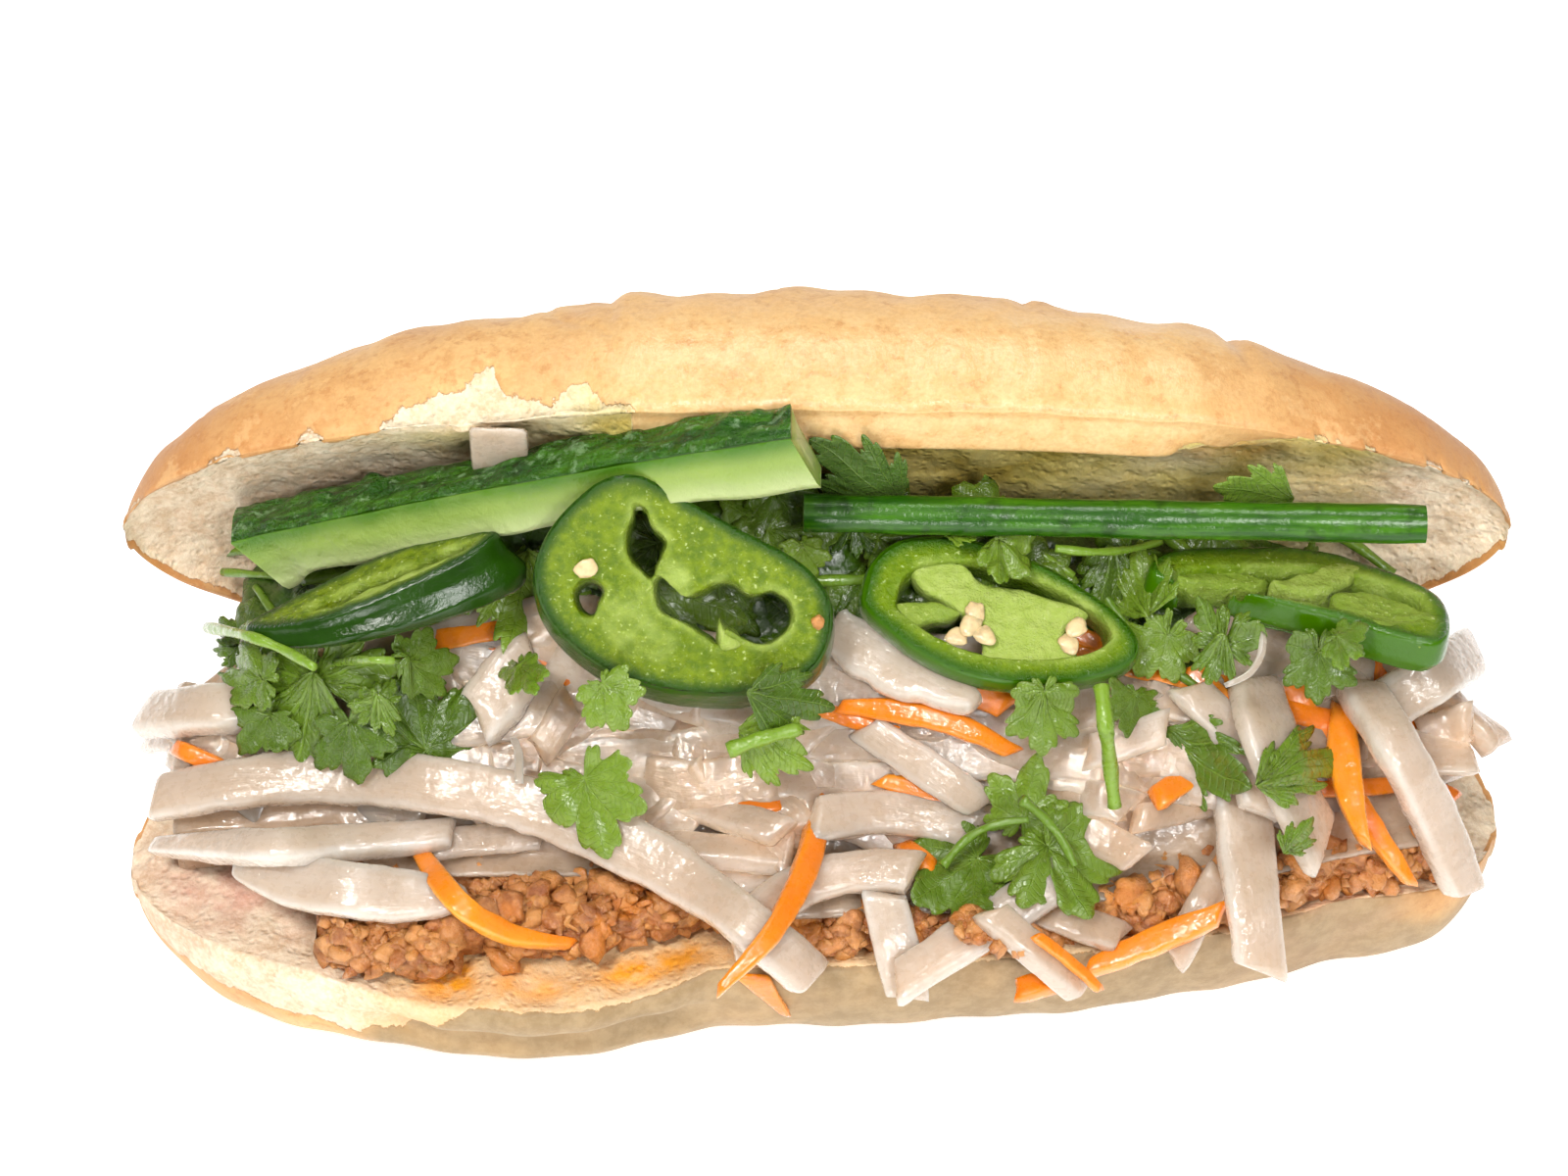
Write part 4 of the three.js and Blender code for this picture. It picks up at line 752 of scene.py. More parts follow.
LOOSE = [
    ("d", (-101, -19), (-85, -18), 0, 7.5, 5, 0), ("d", (-43, -9), (-51, -20), 0, 9, 6, 0),
    ("c", (-26, -41), (-15, -48), 0, 3.5, 3, 1), ("c", (9, -29), (23, -32), 0, 3.5, 3, 0),
    ("d", (10, -46), (14, -62), 0, 7, 3, 0), ("d", (-13, -53), (15, -43), 4, 7, 3.5, 0),
    ("d", (7, -21), (25, -33), 0, 5.5, 3.5, 0), ("c", (3, -18), (30, -25), 2, 3.5, 3, 0),
    ("d", (2, -6), (24, -18), 0, 8.5, 4, 0), ("d", (-88, -42.4), (-53, -47), -1, 8.5, 4.5, 0),
    ("c", (-60, -40), (-37, -54), -4, 4.5, 3, 1), ("d", (-100, -39), (-55, -37), -1, 5.5, 4, 0),
    ("d", (-100, -32), (-1, -59), 14, 8.5, 4.5, 0), ("c", (1, -32), (-15, -61), 3, 4.5, 3, 1),
    ("d", (12, -60), (36, -44), 0, 7, 4, 0), ("c", (40.5, -58), (61.5, -49), 0, 4, 3, 0),
    ("d", (26, -49), (40, -61), 0, 5, 4, 0), ("d", (64, -30), (67, -58), 0, 8.5, 4, 0),
    ("d", (56, -15), (67, -34), 2, 6, 3.5, 0), ("d", (66, -14), (76, -39), -1, 11, 4, 0),
    ("c", (79, -29), (90, -45), 0, 4, 3, 1), ("c", (79, -18), (83, -39), -1, 5, 3.5, 1),
    ("d", (83, -20), (99, -10), 0, 8, 4.5, 0), ("d", (82, -15), (98, -46), 1, 7, 4.5, 0),
]


# ------------------------------------------------------------------ leaves and stems
LOBES = {
    # kind: (share of the size that the base lies behind the middle, [(angle, length, half width)])
    "fan": (0.95, [(0, 2.0, 31), (50, 1.85, 33), (-50, 1.8, 33), (98, 1.35, 34), (-98, 1.3, 34), (140, 0.8, 30),
                   (-140, 0.75, 30)]),
    "trio": (0.0, [(0, 1.05, 24), (36, 0.85, 22), (-36, 0.85, 22)]),
    "blade": (1.0, [(0, 2.0, 19), (25, 1.6, 15), (-25, 1.5, 15), (48, 1.05, 17), (-48, 1.0, 17)]),
}


def leaf_sheet(kind, spokes, rings, rng):
    """A flat leaf's parts, scaled to a radius of 1: places, the veins' angle and radius, share of the way out."""
    back, lobes = LOBES[kind]
    parts = []
    turns = (0,) if kind != "trio" else (0, 118, -122)
    for turn in turns:
        spread = math.radians(168 if kind == "fan" else 60)
        phi = np.linspace(-spread, spread, spokes)
        reach = np.full(spokes, 0.14)
        for angle, length, width in lobes:
            d = np.degrees(phi) - angle
            length = length * (1 + 0.16 * (rng.random() - 0.5))
            cap = np.sqrt(np.maximum(0, 1 - np.abs(d / width) ** 2.1))
            tooth = np.abs(np.cos(np.pi * d / (width * 0.62)))
            reach = np.maximum(reach, length * cap * (0.83 + 0.17 * tooth ** 0.6))
        r = (np.arange(rings + 1) / rings) ** 0.85
        rad = r[:, None] * reach[None]
        ang = phi[None] + 0 * rad
        u = rad * np.cos(ang) - back
        v = rad * np.sin(ang)
        t = math.radians(turn)
        parts.append([u * math.cos(t) - v * math.sin(t), u * math.sin(t) + v * math.cos(t), ang, rad,
                      r[:, None] + 0 * rad])
    us, vs = np.concatenate([p[0] for p in parts]), np.concatenate([p[1] for p in parts])
    middle = (us.max() + us.min()) / 2, (vs.max() + vs.min()) / 2
    reach = 0.96 * np.hypot(us - middle[0], vs - middle[1]).max()
    for p in parts:
        p[0], p[1] = (p[0] - middle[0]) / reach, (p[1] - middle[1]) / reach
    return parts


# A leaf's steepest slope, and the share of its samples that it lies above.
STEEPEST, COVER = 1.1, 0.7


def patch_plane(middle, samples):
    """A plane that rests on the map under most of the samples: its height in the middle and its two slopes."""
    x, y = samples[:, 0] - middle[0], samples[:, 1] - middle[1]
    z = soft_height(samples[:, 0], samples[:, 1], 2)
    keep = z > 0
    if not keep.any():
        return 25.0, 0.0, 0.0
    x, y, z = x[keep], y[keep], z[keep]
    dx, dy, dz = x - x.mean(), y - y.mean(), z - z.mean()
    sxx, sxy, syy, sxz, syz = (dx * dx).sum(), (dx * dy).sum(), (dy * dy).sum(), (dx * dz).sum(), (dy * dz).sum()
    det = sxx * syy - sxy * sxy + 1
    ax = np.clip((sxz * syy - syz * sxy) / det, -STEEPEST, STEEPEST)
    ay = np.clip((syz * sxx - sxz * sxy) / det, -STEEPEST, STEEPEST)
    over = np.sort(z - ax * x - ay * y)
    return over[int(COVER * (len(over) - 1))], ax, ay


def along_sight_to_plane(places, middle, plane):
    """Where the rays meet such a plane."""
    base, ax, ay = plane
    ray = sight(places)
    start = EYE[2] - base - ax * (EYE[0] - middle[0]) - ay * (EYE[1] - middle[1])
    t = -start / (ray[..., 2] - ax * ray[..., 0] - ay * ray[..., 1])
    return EYE + ray * t[..., None]


LEAF_THICK = 0.42


def add_leaf(heap, at, size, direction, kind, owner, rng, tint, curl, sink=0.0, face=False,
             spokes=64, rings=8, lift=0.0, mark=True):
    """Lays a leaf on the pile, or with face against the crumb of the upper half."""
    at = np.asarray(at, float)
    turn = math.radians(direction)
    k = 2 * np.pi * np.arange(12) / 12
    outline = (0.6 + 0.4 * np.abs(np.cos(1.5 * k)) ** 0.9 if kind != "blade"
               else 1 / np.hypot(np.cos(k), np.sin(k) / 0.42))
    ring = np.stack([np.cos(k + turn), np.sin(k + turn)], -1) * (size * outline)[:, None]
    sample = np.concatenate([[at], at + 0.5 * ring, at + ring])
    middle = on_pile(at, 2)[0]
    plane = patch_plane(middle, on_pile(sample, 2))
    phase = rng.random(4) * 6.28
    for u, v, ang, rad, r in leaf_sheet(kind, spokes, rings, rng):
        places = np.stack([at[0] + size * (u * math.cos(turn) - v * math.sin(turn)),
                           at[1] + size * (u * math.sin(turn) + v * math.cos(turn))], -1)
        if face:
            p = along_sight_to_face(places, 2.2 + 0 * u)
            normal = np.array([0, -SIN, -COS])
            wave = 0.5 * np.sin(ang * 3 + phase[0]) * r ** 2 + 0.3 * np.sin(rad * 4 + phase[1])
            p = p + normal * (curl * wave)[..., None]
        else:
            p = along_sight_to_plane(places, middle, plane)
            behind = p[..., 1] > face_y(p[..., 0], p[..., 2]) - 2
            p = np.where(behind[..., None], along_sight_to_face(places, 2 + 0 * u), p)
            over = np.maximum(0, support(p[..., 0], p[..., 1], owner, sink) - p[..., 2])
            over = np.minimum(over, 2.4)
            for _ in range(5):
                pad = np.pad(over, 1, mode="edge")
                over = (pad[:-2, 1:-1] + pad[2:, 1:-1] + pad[1:-1, :-2] + pad[1:-1, 2:] + 2 * over) / 6
            wave = (np.sin(ang * 5 + phase[0]) * 0.28 * size / 8 * r ** 2
                    + np.sin(ang * 2.3 + phase[1]) * 0.5 * size / 8 * r ** 2)
            ridge = -0.35 * np.abs(np.sin(ang * 3.4)) * np.minimum(1, rad)
            cup = -0.55 * r ** 3 * size / 8
            p = p.copy()
            crumple = (0.5 + 0.5 * size / 8) * fbm(p, 0.45 * size, 3, int(phase[2] * 100))
            p[..., 2] += GAP + 0.5 + over + lift + curl * (wave + ridge + cup + 1.1 * np.abs(crumple))
        du = np.gradient(p, axis=0)
        dv = np.gradient(p, axis=1)
        normal = unit(np.cross(du, dv))
        normal[normal[..., 2] < 0] *= -1
        taper = np.clip(1.15 - r, 0.25, 1)[..., None]
        top = p + normal * LEAF_THICK / 2 * taper
        low = p - normal * LEAF_THICK / 2 * taper
        n, m = top.shape[:2]
        i, j = np.meshgrid(np.arange(n - 1), np.arange(m - 1), indexing="ij")
        a = i * m + j
        up = np.stack([a, a + m, a + m + 1, a + 1], -1).reshape(-1, 4)
        down = np.stack([a, a + 1, a + m + 1, a + m], -1).reshape(-1, 4) + n * m
        rim = np.concatenate([np.arange(m), m - 1 + m * np.arange(1, n), (n - 1) * m + np.arange(m - 2, -1, -1),
                              m * np.arange(n - 2, 0, -1)])
        nxt = np.roll(rim, -1)
        side = np.stack([rim, nxt, nxt + n * m, rim + n * m], -1)
        pts = np.concatenate([top.reshape(-1, 3), low.reshape(-1, 3)])
        both = [np.concatenate([w.ravel(), w.ravel()]) for w in (ang, rad, r)]
        under = np.concatenate([np.zeros(n * m), np.ones(n * m)])
        heap.add(pts, [up, down, side], angle=both[0], radius=both[1], edge=both[2], tint=tint + 0 * under,
                 under=under, stem=0 * under)
        if mark and not face:
            raise_map(top, owner)


def add_stem(heap, points, width, rng, tint):
    """A round stem along the points, a little thinner at its end."""
    points = np.asarray(points, float)
    n = max(8, 5 * (len(points) - 1) + 1)
    p = catmull(points, np.linspace(0, len(points) - 1, n))
    along = unit(np.gradient(p, axis=0))
    side = unit(np.cross(along, [0.1, 0.2, 1]))
    up = np.cross(side, along)
    k = 2 * np.pi * np.arange(10)[None, :, None] / 10
    s = np.linspace(0, 1, n)
    r = width / 2 * (1 - 0.2 * s) * (1 + 0.12 * np.sin(s * 17 + rng.random() * 6))
    rings = p[:, None] + r[:, None, None] * (side[:, None] * np.cos(k) + up[:, None] * np.sin(k))
    pts, faces = closed(rings)
    heap.add(pts, faces, angle=0, radius=0.5, edge=0, tint=tint, under=0, stem=1)


def lay_stem(heap, start, end, bow, width, owner, rng, tint, sink=0.0, mark=True):
    add_stem(heap, lay(start, end, bow, width, width, 0, owner, sink, 7.0, mark)[0], width, rng, tint)


# ------------------------------------------------------------------ materials
def rgb(*levels):
    """A colour from its levels of 0 to 255, as a picture shows it."""
    return tuple((c / 255 / 12.92) if c <= 10 else ((c / 255 + 0.055) / 1.055) ** 2.4 for c in levels) + (1.0,)


def grey(level):
    return (level, level, level, 1)


class Shader:
    """A small helper round one material's nodes."""

    def __init__(self, name, glow=None, **settings):
        self.material = bpy.data.materials.new(name)
        self.material.use_nodes = True
        self.nodes, self.links = self.material.node_tree.nodes, self.material.node_tree.links
        self.main = self.nodes["Principled BSDF"]
        self.set(self.main, **settings)
        if glow:
            self.main.inputs["Subsurface Radius"].default_value = glow
        self.place = self.nodes.new("ShaderNodeTexCoord").outputs["Object"]

    def feed(self, socket, v):
        if isinstance(v, bpy.types.NodeSocket):
            self.links.new(v, socket)
        else:
            socket.default_value = v

    def set(self, node, **settings):
        if "Normal" in settings and "Coat Normal" in node.inputs:
            settings["Coat_Normal"] = settings["Normal"]
        for key, v in settings.items():
            self.feed(node.inputs[key.replace("_", " ")], v)

    def value(self, name):
        """A number that the piece holds at its vertices."""
        node = self.nodes.new("ShaderNodeAttribute")
        node.attribute_name = name
        return node.outputs["Fac"]

    def math(self, kind, a, b=0.0, clamp=False):
        node = self.nodes.new("ShaderNodeMath")
        node.operation, node.use_clamp = kind, clamp
        self.feed(node.inputs[0], a)
        self.feed(node.inputs[1], b)
        return node.outputs[0]

    def times(self, a, b):
        return self.math("MULTIPLY", a, b)

    def plus(self, a, b, clamp=False):
        return self.math("ADD", a, b, clamp)

    def minus(self, a, b):
        return self.math("SUBTRACT", a, b)

    def ramp(self, value, low, high, a=0.0, b=1.0):
        """A soft step of the value, from a at low to b at high."""
        node = self.nodes.new("ShaderNodeMapRange")
        node.interpolation_type = "SMOOTHSTEP"
        self.links.new(value, node.inputs["Value"])
        for key, v in (("From Min", low), ("From Max", high), ("To Min", a), ("To Max", b)):
            node.inputs[key].default_value = v
        return node.outputs["Result"]

    def noise(self, size, detail=3.0, rough=0.55, vector=None):
        """Noise with features of a size in millimetres."""
        node = self.nodes.new("ShaderNodeTexNoise")
        self.links.new(vector or self.place, node.inputs["Vector"])
        self.set(node, Scale=(1 if vector else 1000) / size, Detail=detail, Roughness=rough, Distortion=0.0)
        return node.outputs["Fac"]

    def cells(self, size):
        node = self.nodes.new("ShaderNodeTexVoronoi")
        self.links.new(self.place, node.inputs["Vector"])
        node.inputs["Scale"].default_value = 1000 / size
        return node.outputs["Distance"]

    def parts(self):
        node = self.nodes.new("ShaderNodeSeparateXYZ")
        self.links.new(self.place, node.inputs[0])
        return node.outputs

    def vector(self, *parts):
        node = self.nodes.new("ShaderNodeCombineXYZ")
        for socket, v in zip(node.inputs, parts):
            self.feed(socket, v)
        return node.outputs[0]

    def mix(self, share, a, b):
        """Colour a, or b where the share is 1."""
        node = self.nodes.new("ShaderNodeMix")
        node.data_type, node.blend_type = "RGBA", "MIX"
        for at, v in ((0, share), (6, a), (7, b)):
            self.feed(node.inputs[at], v)
        return node.outputs[2]

    def bump(self, height, depth_mm, strength, after=None):
        node = self.nodes.new("ShaderNodeBump")
        node.inputs["Distance"].default_value = depth_mm * MM
        node.inputs["Strength"].default_value = strength
        self.links.new(height, node.inputs["Height"])
        if after:
            self.links.new(after, node.inputs["Normal"])
        return node.outputs["Normal"]


def bread_material():
    """Crust, and crumb where the piece says so, with soak, oil and pork juice; painted shade on the front wall and
    in the pores, and a painted sheen on the lip.
    """
    s = Shader("baked_bread", (1.0, 0.6, 0.35), Subsurface_Weight=0.1, Subsurface_Scale=0.003,
               Specular_IOR_Level=0.35)
    fray = s.times(s.minus(s.noise(1.4, 4, 0.65), 0.5), 1.1)
    crumb = s.ramp(s.plus(s.value("crumb"), fray), 0.42, 0.6)
    bake, soak = s.value("bake"), s.value("soak")
    big, mid, fine = s.noise(18), s.noise(4.5, 5, 0.65), s.noise(0.8, 4, 0.65)
    shade = s.plus(bake, s.times(s.minus(big, 0.5), 1.6), True)
    crust = s.mix(shade, rgb(222, 178, 118), rgb(194, 138, 82))
    crust = s.mix(s.ramp(mid, 0.46, 0.6, 0, 0.5), crust, rgb(200, 144, 84))
    crust = s.mix(s.ramp(s.noise(2.0, 5, 0.7), 0.52, 0.64, 0, 0.4), crust, rgb(178, 116, 60))
    crust = s.mix(s.ramp(s.noise(9, 5, 0.7), 0.54, 0.62, 0, 0.35), crust, rgb(234, 196, 140))
    # Painted sheen: a lighter crust colour on the glossy lip.
    crust = s.mix(s.times(s.value("gloss"), s.ramp(mid, 0.4, 0.58, 0.1, 0.85)), crust, rgb(230, 196, 140))
    crust = s.mix(s.ramp(fine, 0.35, 0.62, 0.18, 0), crust, rgb(170, 110, 58))
    # Painted shade: a dull, darker khaki on the front wall.
    dull = s.mix(s.ramp(s.noise(3, 5, 0.7), 0.35, 0.65), rgb(166, 142, 106), rgb(148, 124, 88))
    crust = s.mix(s.times(s.value("pale"), s.ramp(big, 0.3, 0.6, 0.8, 1.0)), crust, dull)
    soft = s.mix(s.ramp(mid, 0.35, 0.65), rgb(232, 214, 186), rgb(214, 186, 150))
    soft = s.mix(s.ramp(fine, 0.4, 0.66, 0, 0.5), soft, rgb(250, 236, 212))
    # Painted shade in the crumb's pores: darker spots at the cells' centres.
    soft = s.mix(s.ramp(s.cells(2.4), 0.02, 0.35, 0.22, 0), soft, rgb(206, 174, 132))
    # Painted shade: the crumb in front turns darker and yellower.
    soft = s.mix(s.times(s.value("pale"), 0.6), soft, rgb(222, 188, 134))
    soft = s.mix(s.times(soak, 0.9), soft, rgb(216, 196, 96))
    soft = s.mix(s.ramp(s.times(soak, s.noise(9, 4)), 0.35, 0.6, 0, 0.6), soft, rgb(186, 152, 48))
    colour = s.mix(crumb, crust, soft)
    edge = s.times(s.ramp(crumb, 0.05, 0.5), s.ramp(crumb, 0.5, 0.98, 1, 0))
    colour = s.mix(s.times(edge, 0.55), colour, rgb(196, 138, 74))
    colour = s.mix(s.times(s.value("pink"), s.ramp(mid, 0.3, 0.6, 0.3, 0.7)), colour, rgb(206, 148, 134))
    colour = s.mix(s.times(s.value("oil"), s.ramp(s.noise(3, 4), 0.3, 0.6, 0.4, 1)), colour, rgb(236, 156, 24))
    wet = s.math("MAXIMUM", s.value("gloss"), s.math("MAXIMUM", s.times(soak, 0.6), s.value("oil")), True)
    s.set(s.main, Base_Color=colour,
          Roughness=s.minus(s.plus(0.52, s.times(crumb, 0.3)), s.times(wet, 0.28)))
    pits = s.times(s.plus(s.ramp(s.cells(1.5), 0.0, 0.5), s.noise(0.9, 4, 0.7)), crumb)
    skin = s.vector(*[s.times(part, k) for part, k in zip(s.parts(), (1000, 500, 500))])
    normal = s.bump(pits, 0.45, 0.6)
    normal = s.bump(s.noise(5, 6, 0.62, skin), 0.9, 0.55, normal)
    normal = s.bump(fine, 0.14, 0.6, normal)
    s.set(s.main, Normal=normal)
    return s.material


def strip_material(name, light, dark, shade, glow, inside):
    """Wet pickled sticks: fibres along them, a thin coat, and painted light and shade: edges lighter and faces
    darker for light through the thin strips, and the heap's strips darker.
    """
    s = Shader(name, glow, Subsurface_Weight=inside, Subsurface_Scale=0.006, Coat_Weight=0.8, Coat_Roughness=0.07,
               Specular_IOR_Level=0.4)
    s.main.subsurface_method = "BURLEY"
    far, wide, seed = s.value("far"), s.value("wide"), s.value("seed")
    lines = s.vector(s.times(far, 0.16), wide, s.times(seed, 40))
    fibre = s.noise(0.7, 3, 0.6, lines)
    along = s.vector(s.times(far, 0.7), wide, s.times(seed, 40))
    blot = s.noise(5.0, 2, 0.5, along)
    colour = s.mix(s.ramp(fibre, 0.35, 0.7, 0, 0.3), light, dark)
    colour = s.mix(s.ramp(blot, 0.3, 0.7, 0, 0.6), colour, dark)
    # Painted shade: strips deep in the heap, with a higher seed, and the heap's core take the shade colour.
    colour = s.mix(s.ramp(seed, 0.1, 1.0, 0, 0.75), colour, shade)
    # Painted shade on the flat faces, leaving the edges lighter, for light that passes through the thin strip.
    colour = s.mix(s.ramp(s.value("brink"), 0.95, 0.55, 0, 0.45), colour, shade)
    normal = s.bump(s.noise(3.0, 2), 0.4, 0.5)
    normal = s.bump(fibre, 0.12, 0.5, normal)
    wet = s.bump(s.noise(1.5, 3, 0.6), 0.28, 1.0, normal)
    s.set(s.main, Base_Color=colour, Normal=normal, Roughness=s.ramp(s.noise(1.4, 3), 0.35, 0.65, 0.2, 0.45))
    s.set(s.main, Coat_Normal=wet)
    return s.material


def leaf_material():
    """Leaves with veins in a fan, and stems."""
    s = Shader("cilantro_leaf", (0.6, 1.0, 0.2), Subsurface_Weight=0.25, Subsurface_Scale=0.0012,
               Specular_IOR_Level=0.35, Coat_Weight=0.5, Coat_Roughness=0.09)
    angle, radius, tint = s.value("angle"), s.value("radius"), s.value("tint")
    step = math.radians(25)
    slot = s.minus(s.math("FRACT", s.plus(s.math("DIVIDE", angle, step), 10.5)), 0.5)
    away = s.math("ABSOLUTE", slot)
    main = s.ramp(s.times(away, radius), 0.012, 0.05, 1, 0)
    rung = s.math("FRACT", s.minus(s.times(radius, 6.5), s.times(away, 2.2)))
    side = s.ramp(s.math("ABSOLUTE", s.minus(rung, 0.5)), 0.03, 0.13, 0.6, 0)
    vein = s.math("MAXIMUM", main, side, True)
    vein = s.times(vein, s.ramp(s.value("stem"), 0.0, 1.0, 1, 0))
    blot = s.noise(2.5, 3)
    # tint: the leaf's green from dark to light, partly its own colour and partly painted light and shade.
    base = s.mix(tint, rgb(44, 72, 6), rgb(112, 140, 34))
    base = s.mix(s.ramp(blot, 0.35, 0.7, 0, 0.45), base, s.mix(tint, rgb(66, 98, 14), rgb(136, 162, 58)))
    colour = s.mix(s.times(vein, 0.3), base, rgb(128, 160, 56))
    colour = s.mix(s.times(s.value("under"), 0.25), colour, rgb(120, 150, 84))
    colour = s.mix(s.value("stem"), colour, s.mix(tint, rgb(66, 98, 18), rgb(120, 152, 44)))
    normal = s.bump(s.minus(1.0, vein), 0.22, 0.8)
    normal = s.bump(s.noise(0.8, 3), 0.12, 0.6, normal)
    normal = s.bump(s.noise(3.0, 2), 0.8, 0.7, normal)
    s.set(s.main, Base_Color=colour, Normal=normal, Roughness=s.ramp(s.noise(1.5, 3), 0.35, 0.65, 0.18, 0.42))
    s.set(s.main, Coat_Normal=s.bump(s.noise(1.3, 3, 0.6), 0.5, 1.0, normal))
    return s.material


def pepper_material():
    """Pepper: dark glossy skin, a deep green rim under it, flesh and paler ribs, with painted shade down in the
    hollows and painted glints on the flesh.
    """
    s = Shader("jalapeno_flesh", (0.7, 1.0, 0.2), Subsurface_Weight=0.1, Subsurface_Scale=0.0015,
               Specular_IOR_Level=0.12, Coat_Weight=0.5, Coat_Roughness=0.08)
    skin, rib, deep = s.value("skin"), s.value("rib"), s.value("deep")
    blot = s.noise(1.6, 4)
    flesh = s.mix(s.ramp(blot, 0.35, 0.65), rgb(84, 108, 0), rgb(118, 138, 6))
    flesh = s.mix(s.ramp(s.noise(0.7, 4, 0.7), 0.5, 0.7, 0, 0.35), flesh, rgb(170, 184, 56))
    flesh = s.mix(s.times(s.value("lit"), 0.6), flesh, rgb(104, 142, 4))
    # Painted glints: small near-white specks on the flesh.
    flesh = s.mix(s.ramp(s.noise(0.8, 3, 0.6), 0.62, 0.7, 0, 0.6), flesh, rgb(214, 228, 150))
    flesh = s.mix(s.ramp(s.value("rim"), 0.0, 1.0), flesh, s.mix(s.value("lit"), rgb(24, 60, 0), rgb(52, 100, 0)))
    flesh = s.mix(rib, flesh, s.mix(blot, rgb(140, 166, 50), rgb(182, 198, 110)))
    # Painted shade: darker green on the walls of the hollows, more so further below the cut face.
    flesh = s.mix(s.times(deep, 0.75), flesh, rgb(58, 90, 16))
    dark = s.mix(s.noise(5, 3), rgb(12, 36, 4), rgb(34, 70, 8))
    dark = s.mix(s.value("lit"), dark, rgb(62, 108, 0))
    s.set(s.main, Base_Color=s.mix(skin, flesh, dark), Roughness=s.mix(skin, grey(0.24), grey(0.12)))
    lumps = s.times(s.noise(0.8, 4, 0.65), s.ramp(skin, 0.0, 1.0, 1, 0.12))
    normal = s.bump(s.noise(6, 2), 0.3, 0.3, s.bump(lumps, 0.8, 0.9))
    s.set(s.main, Normal=normal)
    grains = s.times(s.noise(1.0, 3, 0.65), s.ramp(skin, 0.0, 1.0, 1, 0.06))
    s.set(s.main, Coat_Normal=s.bump(grains, 0.6, 1.0, normal))
    return s.material


def cucumber_material():
    """Cucumber: streaked skin, warty on the left spear with painted glints on the lumps, and flesh that pales
    inwards.
    """
    s = Shader("cucumber_flesh", (0.7, 1.0, 0.4), Subsurface_Weight=0.3, Subsurface_Scale=0.0025,
               Specular_IOR_Level=0.2, Coat_Weight=0.4, Coat_Roughness=0.22)
    skin, depth = s.value("skin"), s.value("depth")
    far, wide = s.value("far"), s.value("wide")
    streak = s.noise(1.4, 3, 0.55, s.vector(s.times(far, 0.08), wide, 3.0))
    dark = s.mix(s.ramp(streak, 0.35, 0.7), rgb(30, 78, 2), rgb(62, 114, 8))
    dark = s.mix(s.ramp(s.noise(3.5, 3), 0.5, 0.72, 0, 0.6), dark, rgb(12, 40, 4))
    # Painted glints: pale patches on the lumps of the warty skin.
    patch = s.times(s.ramp(s.noise(2.2, 3, 0.6), 0.56, 0.68, 0, 0.5), s.ramp(s.value("wart"), 0.3, 1.0))
    dark = s.mix(patch, dark, rgb(140, 174, 124))
    flesh = s.mix(s.ramp(depth, 0.0, 0.4), rgb(62, 108, 4), rgb(130, 154, 68))
    flesh = s.mix(s.ramp(depth, 0.35, 1.0), flesh, rgb(174, 186, 130))
    flesh = s.mix(s.ramp(streak, 0.4, 0.75, 0, 0.3), flesh, rgb(168, 186, 96))
    s.set(s.main, Base_Color=s.mix(skin, flesh, dark))
    s.set(s.main, Roughness=s.mix(skin, grey(0.32), grey(0.26)))
    lumps = s.times(s.noise(1.8, 4, 0.6), s.times(s.value("wart"), s.ramp(skin, 0, 1, 0.15, 1)))
    normal = s.bump(lumps, 1.2, 1.0)
    s.set(s.main, Normal=s.bump(streak, 0.06, 0.5, normal))
    return s.material


def pork_material():
    """Minced pork: brown, lighter and darker by the lump, with a thin glaze."""
    s = Shader("braised_pork", (1.0, 0.45, 0.2), Subsurface_Weight=0.12, Subsurface_Scale=0.0015, Coat_Weight=0.6,
               Coat_Roughness=0.12, Specular_IOR_Level=0.5)
    colour = s.mix(s.value("tint"), rgb(156, 84, 28), rgb(204, 140, 72))
    colour = s.mix(s.ramp(s.noise(1.1, 4), 0.35, 0.7, 0, 0.6), colour, rgb(216, 152, 92))
    colour = s.mix(s.ramp(s.noise(4, 3), 0.5, 0.72, 0, 0.75), colour, rgb(122, 58, 16))
    colour = s.mix(s.ramp(s.noise(7, 2), 0.52, 0.7, 0, 0.6), colour, rgb(214, 124, 20))
    normal = s.bump(s.noise(0.8, 5, 0.7), 0.5, 0.9)
    s.set(s.main, Base_Color=colour, Normal=normal, Roughness=s.ramp(s.noise(2, 3), 0.35, 0.65, 0.2, 0.5))
    return s.material


def seed_material():
    """Pale seeds of the peppers."""
    s = Shader("pepper_seed", Subsurface_Weight=0.2, Subsurface_Scale=0.001, Roughness=0.3)
    colour = rgb(222, 196, 148)
    tone = s.mix(s.ramp(s.noise(1.2, 3), 0.35, 0.7), colour, tuple(0.72 * c for c in colour[:3]) + (1,))
    s.set(s.main, Base_Color=tone, Normal=s.bump(s.noise(0.6, 3), 0.1, 0.6))
    return s.material


BREAD = bread_material()
DAIKON = strip_material("pickled_daikon", rgb(206, 198, 188), rgb(186, 168, 148), rgb(170, 140, 112),
                        (1.0, 0.75, 0.55), 1.0)
CARROT = strip_material("pickled_carrot", rgb(244, 156, 36), rgb(238, 126, 14), rgb(226, 108, 10),
                        (1.0, 0.7, 0.2), 0.4)
LEAF = leaf_material()
PEPPER = pepper_material()
CUCUMBER = cucumber_material()
PORK = pork_material()
SEED = seed_material()

# ------------------------------------------------------------------ bread and the cores under the filling
bread_bottom().piece("bread_bottom", BREAD, "bread", ["bread"])
bread_top().piece("bread_top", BREAD, "bread", ["bread"])
start_map()


